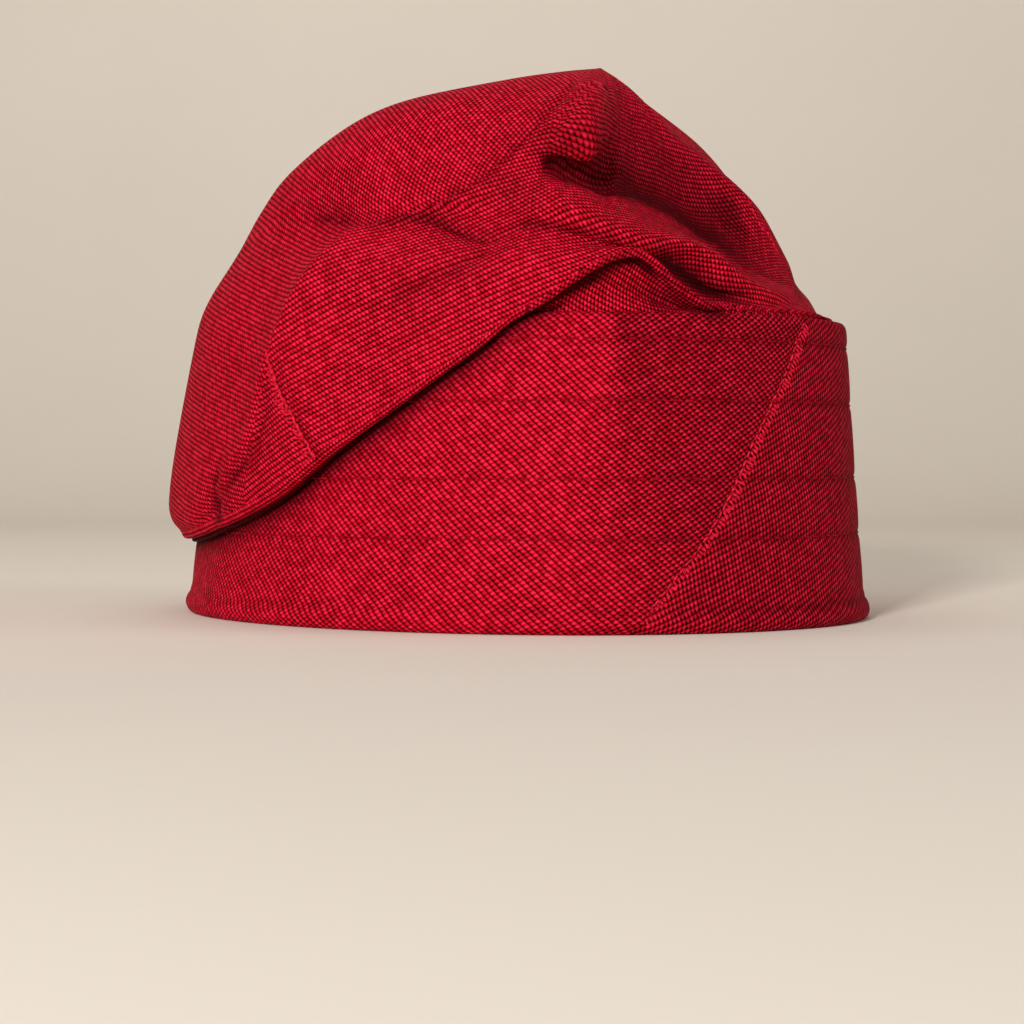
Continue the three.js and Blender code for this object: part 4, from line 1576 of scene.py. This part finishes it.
    def edge_line(self, path: Path) -> Array:
        """Follows a panel's edge down the mesh.

        Args:
            path: The edge's azimuths and heights.

        Returns:
            The edge's azimuth at each of the mesh's rows, with soft bends.
        """
        marks = sorted((self.knot_at(azimuth, height), azimuth) for azimuth, height, _ in path)
        line = np.interp(self.row_knots, [knot for knot, _ in marks], [azimuth for _, azimuth in marks])
        soft = np.ones(self.edge_window) / self.edge_window
        return np.convolve(np.pad(line, self.edge_window // 2, mode="edge"), soft, "valid")

    def grid(self) -> Array:
        """Spreads the mesh's columns so that the panels' edges run along two of them.

        Returns:
            The azimuth of every point, with columns along the first axis.
        """
        left, right = self.edge_line(self.left_edge), self.edge_line(self.right_edge)
        front = np.linspace(0, 1, self.front_columns, endpoint=False)[:, None]
        back = np.linspace(0, 1, self.back_columns, endpoint=False)[:, None]
        return np.concatenate([left + (right - left) * front, right + (left + 360 - right) * back])

    def path_line(self, path: Path) -> tuple[Array, Array]:
        """Follows a path on the unfolded crown.

        Args:
            path: Azimuths, heights and shares.

        Returns:
            Points along the path, and the share at each.
        """
        marks = np.array(path, float)
        count = np.arange(len(marks), dtype=float)
        read = cubic(count, marks, np.linspace(0, count[-1], PATH_STEPS + 1))
        at = np.array([self.knot_at(azimuth, height) for azimuth, height, _ in read])
        return self.unfolded(read[:, 0], at), read[:, 2]

    def fold_amount(self, points: Array, normals: Array, fold: Fold) -> Array:
        """Works out how strongly a fold moves points of the unfolded crown.

        Args:
            points: The points.
            normals: Their normals.
            fold: The fold.

        Returns:
            An amount for each point, from 0 to 1.
        """
        line, shares = self.path_line(fold.path)
        amount = np.zeros(len(points))
        reach = self.fold_spread * max(fold.left, fold.right)
        near = ((points > line.min(0) - reach) & (points < line.max(0) + reach)).all(-1)
        place, normal = points[near], normals[near]
        best = np.full(len(place), np.inf)
        share, side = np.zeros(len(place)), np.zeros(len(place))
        for i in range(len(line) - 1):
            step = line[i + 1] - line[i]
            along = np.clip((place - line[i]) @ step / max(step @ step, TINY), 0, 1)
            away = place - (line[i] + along[:, None] * step)
            distance = np.linalg.norm(away, axis=1)
            closer = distance < best
            best[closer] = distance[closer]
            share[closer] = (shares[i] + along * (shares[i + 1] - shares[i]))[closer]
            side[closer] = np.einsum("ij,ij->i", np.cross(step, -away), normal)[closer]
        width = np.where(side < 0, fold.left, fold.right)
        amount[near] = share * np.exp(-((best / width) ** fold.form))
        return amount

    def shape(self) -> None:
        """Makes the folded outside as a grid of points with normals, and its shades."""
        self.azimuth = self.grid()
        at = np.broadcast_to(self.row_knots, self.azimuth.shape)
        self.bare = self.unfolded(self.azimuth.ravel(), at.ravel()).reshape(*self.azimuth.shape, 3)
        over = self.section(self.azimuth.ravel())["over"].reshape(self.azimuth.shape)
        free = 1 - over + over * self.between(at, "foldFront", "belly")
        clear = over + (1 - over) * smoothstep(self.bare[..., 2] - self.band.height, *self.folds_clear)
        flat, normals = self.bare.reshape(-1, 3), self.capped_normals(self.bare).reshape(-1, 3)
        shift, deep = np.zeros_like(flat), np.zeros(len(flat))
        for fold in (*FOLDS, *FINE_FOLDS):
            amount = self.fold_amount(flat, normals, fold)
            shift += normals * (fold.depth * amount)[:, None]
            shift[:, 2] -= fold.sag * amount
            # Painted shade drawn along each fold
            deep = np.maximum(deep, fold.shade * amount)
        self.deep = deep.reshape(self.azimuth.shape)
        self.under = self.hidden(at, over)
        shift = shift.reshape(self.bare.shape) * (free * clear * self.room(self.bare))[..., None]
        self.plain = self.bare + self.map_share * shift
        self.points = self.bare + shift
        self.points[:, -1] = self.points[:, -1].mean(0)
        self.normals = self.capped_normals(self.points)

    def capped_normals(self, points: Array) -> Array:
        """Works out the normals of a grid whose last row is the peak.

        Args:
            points: The grid.

        Returns:
            A unit vector for each point, with one normal for all of the peak.
        """
        normals = ring_normals(points)
        normals[:, -1] = unit(normals[:, -2].mean(0))
        return normals

    def hidden(self, at: Array, over: Array) -> Array:
        """Works out the painted shade of the cloth in the fold, which is even on the wall of the nose.

        Args:
            at: The knot value of each point.
            over: How far the crown is folded over at each point, from 0 to 1.

        Returns:
            The painted shade of each point, from 0 to 1.
        """
        turned = half_turn(self.azimuth)
        lit = smoothstep(turned, *self.nose_lit)
        deep = (1 - lit) * self.between(at, "lip", "drop") + lit * self.between(at, "drop", "foldBack")
        deep *= 1 - self.between(at, "foldUnder", "foldFront")
        wall = self.nose_wall_shade * (1 - self.between(at, "foldFront", "belly"))
        aside = smoothstep(turned, *self.nose_wall) * (turned < self.nose[1])
        return over * (deep + (wall - deep) * aside)

    def room(self, points: Array) -> Array:
        """Finds where the rows bunch, so that folds don't tear the cloth there.

        Args:
            points: The grid.

        Returns:
            1 where the rows are well apart and 0 where they bunch.
        """
        side = self.room_columns
        apart = np.linalg.norm(np.gradient(points, axis=1), axis=-1)
        apart = np.pad(apart, ((side, side), (0, 0)), mode="wrap")
        apart = np.minimum.reduce([apart[k: k + len(points)] for k in range(2 * side + 1)])
        return smoothstep(apart, *self.room_needed)

    def walls(self) -> Array:
        """Works out the wall, which is thin inside the fold so that its layers don't meet.

        Returns:
            The wall at each row.
        """
        inside = self.between(self.row_knots, "edge", "drop")
        inside *= 1 - self.between(self.row_knots, "foldTop", "roll")
        return self.wall + (self.folded_wall - self.wall) * inside

    def shown_from(self) -> int:
        """Returns the first row above the fold."""
        return int(np.searchsorted(self.row_knots, self.knot("foldTop")))

    def weave(self, panel: Panel) -> Array:
        """Makes a panel's weave map: the panel laid flat with little stretch.

        Args:
            panel: The panel.

        Returns:
            The map of the panel's columns in millimetres, from its first edge to its second.
        """
        last = self.front_columns
        whole = np.concatenate([self.plain, self.plain[:1]])
        points = whole[: last + 1] if panel is Panel.FRONT else whole[last:]
        start = self.shown_from()
        flat = lay_flat(points[:, start:], panel.value)
        size, area = np.ptp(flat.reshape(-1, 2), axis=0), grid_area(points)
        log.info("%s panel: %.0f by %.0f mm laid flat, %.0f square mm", panel.name, *size, area)
        return np.concatenate([np.repeat(flat[:, :1], start, 1), flat], 1)

    def under_weave(self) -> Array:
        """Makes the weave map of the fold and the cloth under it.

        The rows run along the fold's edge. On the nose they are turned, by place round the band and height.

        Returns:
            The map of all columns, with the first one again at the end.
        """
        wide = np.concatenate([self.azimuth, self.azimuth[:1] + 360])
        points = np.concatenate([self.points, self.points[:1]])
        along, start = lengths_along(points, 1), self.shown_from()
        below = along - along[:, start: start + 1]
        edge = np.broadcast_to(lengths_along(points[:, start])[:, None], below.shape)
        mean_radius = (self.band.length + self.band.width) / 4
        around = mean_radius * np.radians(wide)
        nose = turned_map(around, points[:, start: start + 1, 2] + below, self.nose_turn)
        turned = half_turn(wide[:, 0])
        inner = (turned > self.nose[0]) & (turned < self.nose[1])
        return np.where(inner[:, None, None], nose, np.stack([edge, below], -1))

    def corner_map(self, kept: Array) -> Array:
        """Makes the weave map of every face corner.

        Args:
            kept: The rows that the inside keeps.

        Returns:
            The map, in the order of the faces.
        """
        front, back, under = self.weave(Panel.FRONT), self.weave(Panel.BACK), self.under_weave()
        left = np.concatenate([front[:-1], back[:-1]])
        right = np.concatenate([front[1:], back[1:]])

        def quads(low: Array, high: Array) -> Array:
            """Takes the corners of the faces between two sets of rows.

            Args:
                low: The lower row of each ring of faces.
                high: The upper row of each ring of faces.

            Returns:
                The flat places of the corners.
            """
            shown = np.stack([left[:, low], right[:, low], right[:, high], left[:, high]], 2)
            below = np.stack([under[:-1, low], under[1:, low], under[1:, high], under[:-1, high]], 2)
            return np.where((low >= self.shown_from())[None, :, None, None], shown, below)

        outer = np.arange(self.rows - 1)
        peak = 0.5 * (left[:, -1] + right[:, -1])
        parts = [
            quads(outer[:-1], outer[1:]),
            quads(outer[:1], outer[:1]),
            quads(kept[:-1], kept[1:])[:, :, ::-1],
            np.stack([left[:, outer[-1]], right[:, outer[-1]], peak], 1),
            np.stack([right[:, kept[-1]], left[:, kept[-1]], peak], 1),
        ]
        return np.concatenate([part.reshape(-1, 2) for part in parts])

    def inner_rows(self) -> Array:
        """Picks the rows of the inside, which are closer in the folded part than above it.

        Returns:
            The rows that the inside keeps.
        """
        belly = int(np.searchsorted(self.row_knots, self.knot("belly")))
        folded, above = self.inner_strides
        return np.concatenate([np.arange(0, belly, folded), np.arange(belly, self.rows - 2, above)])

    def faces(self, low: int) -> list[list[int]]:
        """Makes the faces of the outside, the hem, the inside and the two fans at the peak.

        Args:
            low: How many rows the inside has.

        Returns:
            Vertex numbers of each face, with the outside's vertices first and each side's peak at its end.
        """
        columns, high = len(self.points), self.rows - 1
        top, start = columns * high, columns * high + 1
        end, inner_top = start + low - 1, start + columns * low
        i = np.arange(columns)
        after = (i + 1) % columns
        groups = [
            ring_faces(columns, high),
            np.stack([start + i * low, start + after * low, after * high, i * high], -1),
            ring_faces(columns, low, start)[:, ::-1],
            np.stack([i * high + high - 1, after * high + high - 1, 0 * i + top], -1),
            np.stack([end + after * low, end + i * low, 0 * i + inner_top], -1),
        ]
        return [face for group in groups for face in group.tolist()]

    def build(self) -> bpy.types.Object:
        """Makes the crown.

        Returns:
            The finished crown: its outside, the wall behind it and the hem between them.
        """
        self.shape()
        kept = self.inner_rows()
        inner = self.points[:, kept] - self.normals[:, kept] * self.walls()[kept, None]
        outer, peak = self.points[:, :-1], self.points[0, -1]
        inner_peak = peak - self.normals[0, -1] * self.wall
        points = np.concatenate([outer.reshape(-1, 3), [peak], inner.reshape(-1, 3), [inner_peak]])

        def both(values: Array) -> Array:
            """Returns a mark for the vertices of the outside and then of the inside, each with its peak."""
            top = values[:1, -1]
            return np.concatenate([values[:, :-1].ravel(), top, values[:, kept].ravel(), top])

        marks = {LOOSE_AND_SHADE_NAME: both(self.openness_and_shade()), SHADE_NAME: both(self.shade())}
        piece = mesh_object("crown_cloth", points, self.faces(len(kept)), self.corner_map(kept), marks)
        piece.data.materials.append(self.finish.material())
        settle(piece, "crown")
        return piece

    def openness_and_shade(self) -> Array:
        """Works out how open the weave is: tight on the side that is drawn over the band, open on the other.
        The open weave's darker hollows there are partly the cloth's own look and partly painted shade.

        Returns:
            The openness of each point.
        """
        turned = half_turn(self.azimuth)
        opened = smoothstep(turned, *self.open_from) * (1 - smoothstep(turned, *self.open_to))
        return self.loose + self.loose_and_shade_open * opened

    def shade(self) -> Array:
        """Works out painted shade from how deep each point lies in a crease, from the cloth that stands up on
        either side of it.

        Returns:
            The painted shade of each point, from 0 to 1, with the painted shades drawn along the folds and
            the painted shade under the fold.
        """
        total = np.zeros(self.azimuth.shape)
        for cells, depth in self.shade_scales:
            tall = np.pad(self.points, ((0, 0), (cells, cells), (0, 0)), mode="edge")
            pairs = (
                (tall[:, 2 * cells:], tall[:, : self.rows]),
                (np.roll(self.points, cells, 0), np.roll(self.points, -cells, 0)),
            )
            best = np.maximum(*(
                ((0.5 * (one + other) - self.points) * self.normals).sum(-1) for one, other in pairs))
            total = np.maximum(total, smoothstep(best, self.shade_from * depth, depth))
        total[:, -self.plain_rows:] = 0
        return np.maximum.reduce([self.shade_share * total, self.deep, self.under_share * self.under])

    def seam_stitches(self) -> list[Stitching]:
        """Lays the threads that show on the crown's two seams.

        Returns:
            The side seam's thread, the overlock rungs beside it and the far seam's thread.
        """
        side, far = self.side_run(), self.far_run()
        return [
            side.stitches("crown_side_seam_thread", self.side_thread, "crown_cloth", seed=21),
            side.stitches("crown_side_seam_overlock", self.side_overlock, "crown_cloth", seed=22),
            far.stitches("crown_far_seam_thread", self.far_thread, "crown_cloth", seed=23),
        ]

    def side_run(self) -> Run:
        """Follows the side seam on the folded crown.

        Returns:
            The seam, from the mesh's points about each place on its path.
        """
        line, _ = self.path_line(self.side_seam)
        start = self.shown_from()
        bare, points, normals = (
            grid[:, start:-1].reshape(-1, 3) for grid in (self.bare, self.points, self.normals))
        weights = [bell(np.linalg.norm(bare - place, axis=1), self.seam_blur) for place in line]
        shares = [weight / weight.sum() for weight in weights]
        return Run(np.array([s @ points for s in shares]), unit(np.array([s @ normals for s in shares])))

    def far_run(self) -> Run:
        """Follows the far seam, which runs along a column.

        Returns:
            The part of the seam that shows, from the top down.
        """
        points, normals = self.points[self.front_columns], self.normals[self.front_columns]
        low, high = self.far_seam_heights
        above = np.arange(self.rows) > self.shown_from()
        kept = above & (points[:, 2] > low) & (points[:, 2] < high)
        return Run(points[kept][::-1], normals[kept][::-1])


def grid_area(points: Array) -> float:
    """Returns the area of a grid of points."""
    across = np.cross(points[1:, 1:] - points[:-1, :-1], points[:-1, 1:] - points[1:, :-1])
    return float(0.5 * np.linalg.norm(across, axis=-1).sum())


def lay_flat(points: Array, degrees: float) -> Array:
    """Lays a grid of cloth flat with as little stretch as it takes.

    Args:
        points: The grid, with columns along the first axis and rows up to the peak along the second.
        degrees: How far the weave's rows are turned.

    Returns:
        A flat place in millimetres for each point of the grid.
    """
    along = lengths_along(points, 1)
    from_peak = along[:, -1:] - along
    widest = np.linalg.norm(np.diff(points, axis=0), axis=-1).sum(0)
    spreads = widest / np.maximum(from_peak.mean(0), 1.0)
    spread = np.median(spreads[len(spreads) // 3: 2 * len(spreads) // 3])
    angle = np.linspace(-spread / 2, spread / 2, len(points))[:, None]
    flat = np.stack([from_peak * np.sin(angle), -from_peak * np.cos(angle)], -1)
    for stride, times in FLAT_PASSES:
        flat = relax(points, flat, stride, times)
    return turned_map(flat[..., 0], flat[..., 1], degrees)


def kept_steps(count: int, stride: int) -> Array:
    """Returns every stride-th number below count, with the last one."""
    steps = np.arange(0, count, stride)
    return steps if steps[-1] == count - 1 else np.append(steps, count - 1)


def cloth_links(points: Array, round_it: Array, up_it: Array) -> tuple[Link, ...]:
    """Links the points of a grid to their neighbours, straight and across.

    Args:
        points: The grid.
        round_it: The lengths on the cloth from column to column.
        up_it: The lengths on the cloth from row to row.

    Returns:
        The start, the end and the length of each kind of link.
    """
    a = 0.5 * (round_it[:, :-1] + round_it[:, 1:])
    b = 0.5 * (up_it[:-1] + up_it[1:])
    e = unit(points[1:, :-1] - points[:-1, :-1] + points[1:, 1:] - points[:-1, 1:])
    f = unit(points[:-1, 1:] - points[:-1, :-1] + points[1:, 1:] - points[1:, :-1])
    lean = 2 * a * b * np.clip((e * f).sum(-1), -MOST_LEAN, MOST_LEAN)
    rising, falling = (np.sqrt(np.maximum(a * a + b * b + way * lean, 0)) for way in (1, -1))
    whole, first, then = slice(None), slice(None, -1), slice(1, None)
    return (
        ((first, whole), (then, whole), round_it),
        ((whole, first), (whole, then), up_it),
        ((first, first), (then, then), rising),
        ((then, first), (first, then), falling),
    )


def relax(points: Array, flat: Array, stride: int, times: int) -> Array:
    """Moves flat places until their distances are those on the cloth.

    Args:
        points: The cloth's grid.
        flat: The flat places so far.
        stride: Which columns and rows take part; the others follow.
        times: How often each distance is corrected.

    Returns:
        The better flat places.
    """
    i, j = (kept_steps(count, stride) for count in points.shape[:2])
    kept = np.ix_(i, j)
    p = flat[kept].copy()
    round_it, up_it = (np.diff(lengths_along(points, axis)[kept], axis=axis) for axis in (0, 1))
    links = cloth_links(points[kept], round_it, up_it)
    pulls = np.zeros(p.shape[:2])
    for start, end, _ in links:
        pulls[start] += 1
        pulls[end] += 1
    for _ in range(times):
        move = np.zeros_like(p)
        for start, end, rest in links:
            step = p[end] - p[start]
            size = np.maximum(np.linalg.norm(step, axis=-1), LEAST_STEP)
            fix = step * (0.5 * (size - rest) / size)[..., None]
            move[start] += fix
            move[end] -= fix
        p += FLAT_PUSH * move / pulls[..., None]
    change = p - flat[kept]
    columns, rows = (np.arange(count) for count in points.shape[:2])
    wide = np.stack([[np.interp(rows, j, line[:, k]) for k in (0, 1)] for line in change]).transpose(0, 2, 1)
    low = span_at(i, columns)
    share = ((columns - i[low]) / (i[low + 1] - i[low]))[:, None, None]
    return flat + wide[low] * (1 - share) + wide[low + 1] * share


@dataclass(frozen=True)
class Lamp:
    """A soft square light: places are right, away and up from the rim's middle as the camera sees it."""

    name: str
    place: Spot
    aim: Spot
    size: float
    power: float
    colour: Colour


LAMPS = (
    Lamp("key", (-400, -1335, 475), (0, 0, 75), 0.2, 18.4, (1.0, 0.97, 0.93)),
    Lamp("side fill", (1300, -230, 400), (0, 0, 75), 0.6, 5.0, (1.0, 0.97, 0.93)),
    Lamp("backdrop light", (-250, 250, 1150), (-100, 1150, 400), 1.4, 7.8, (1.0, 0.96, 0.9)),
)


@dataclass
class Studio:
    """The pale floor with its backdrop, the lights and the camera."""

    lens: float = 85.0
    sensor: float = 36.0
    distance: float = 679.0
    eye_height: float = 43.0
    camera_turn: float = -45.0
    frame_middle: tuple[float, float] = (520.0, 458.0)
    frame_size: float = 1024.0
    floor_front: float = -2600.0
    floor_side: float = 2600.0
    bend_from: float = 900.0
    bend_radius: float = 420.0
    bend_steps: int = 17
    backdrop_height: float = 2600.0
    floor: FloorFinish = FloorFinish("pale floor", (0.84, 0.77, 0.69), (0.88, 0.81, 0.73))
    air: Colour = (1.0, 0.95, 0.88)
    air_strength: float = 0.02

    def ground(self, right: float, away: float, up: float) -> Array:
        """Returns a place in the wearer's frame from the camera's directions."""
        return np.array([right + away, away - right, math.sqrt(2) * up]) / math.sqrt(2)

    def spot(self, right: float, away: float, up: float) -> Vector:
        """Returns a place in metres from the camera's directions, in millimetres from the rim's middle."""
        return Vector((self.ground(right, away, up) + rim_middle()) * MM)

    def place_camera(self) -> None:
        """Puts the camera at the photograph's angle."""
        data = bpy.data.cameras.new("camera")
        data.lens = self.lens
        data.sensor_width = self.sensor
        half = self.frame_size / 2
        data.shift_x = (half - self.frame_middle[0]) / self.frame_size
        data.shift_y = (self.frame_middle[1] - half) / self.frame_size
        camera = bpy.data.objects.new("camera", data)
        camera.location = self.spot(0, -self.distance, self.eye_height)
        camera.rotation_euler = (math.pi / 2, 0, math.radians(self.camera_turn))
        bpy.context.scene.collection.objects.link(camera)
        bpy.context.scene.camera = camera

    def add_light(self, lamp: Lamp) -> None:
        """Adds a soft square light.

        Args:
            lamp: The light's place, aim, size, power and colour.
        """
        data = bpy.data.lights.new(lamp.name, "AREA")
        data.size = lamp.size
        data.energy = lamp.power
        data.color = lamp.colour
        light = bpy.data.objects.new(lamp.name, data)
        light.location = self.spot(*lamp.place)
        aim = self.spot(*lamp.aim) - light.location
        light.rotation_euler = aim.to_track_quat("-Z", "Y").to_euler()
        bpy.context.scene.collection.objects.link(light)

    def add_floor(self) -> None:
        """Adds the floor, which bends up into the backdrop."""
        turn = np.linspace(0, math.pi / 2, self.bend_steps)
        away, up = self.bend_from + self.bend_radius * np.sin(turn), self.bend_radius * (1 - np.cos(turn))
        back = self.bend_from + self.bend_radius
        line = np.array([(self.floor_front, 0.0), *zip(away, up), (back, self.backdrop_height)])
        points = np.array([
            self.ground(side, *place) for side in (-self.floor_side, self.floor_side) for place in line])
        count = len(line)
        faces = [[i, count + i, count + i + 1, i + 1] for i in range(count - 1)]
        sweep = mesh_object("floor", points, faces)
        sweep.data.materials.append(self.floor.material())

    def build(self) -> None:
        """Makes the studio."""
        self.add_floor()
        for lamp in LAMPS:
            self.add_light(lamp)
        world = bpy.data.worlds.new("studio")
        world.use_nodes = True
        background = world.node_tree.nodes["Background"]
        background.inputs["Color"].default_value = opaque(self.air)
        background.inputs["Strength"].default_value = self.air_strength
        bpy.context.scene.world = world
        bpy.context.scene.view_settings.view_transform = "Standard"
        self.place_camera()


def main() -> None:
    """Builds the studio and the cap in order."""
    logging.basicConfig(level=logging.INFO)
    Studio().build()
    band = Band()
    crown = Crown(band)
    section = crown.section(band.azimuths())
    band.build(section["fold_up"], section["over"])
    crown.build()
    row_thread, seam_thread = ROW_THREAD.material(), SEAM_THREAD.material()
    for seed, row in enumerate(band.stitch_rows, 1):
        band.stitch_line(row, seed).build(row_thread)
    for stitching in (*band.seam_stitches(), *crown.seam_stitches()):
        stitching.build(seam_thread)


if __name__ == "__main__":
    main()
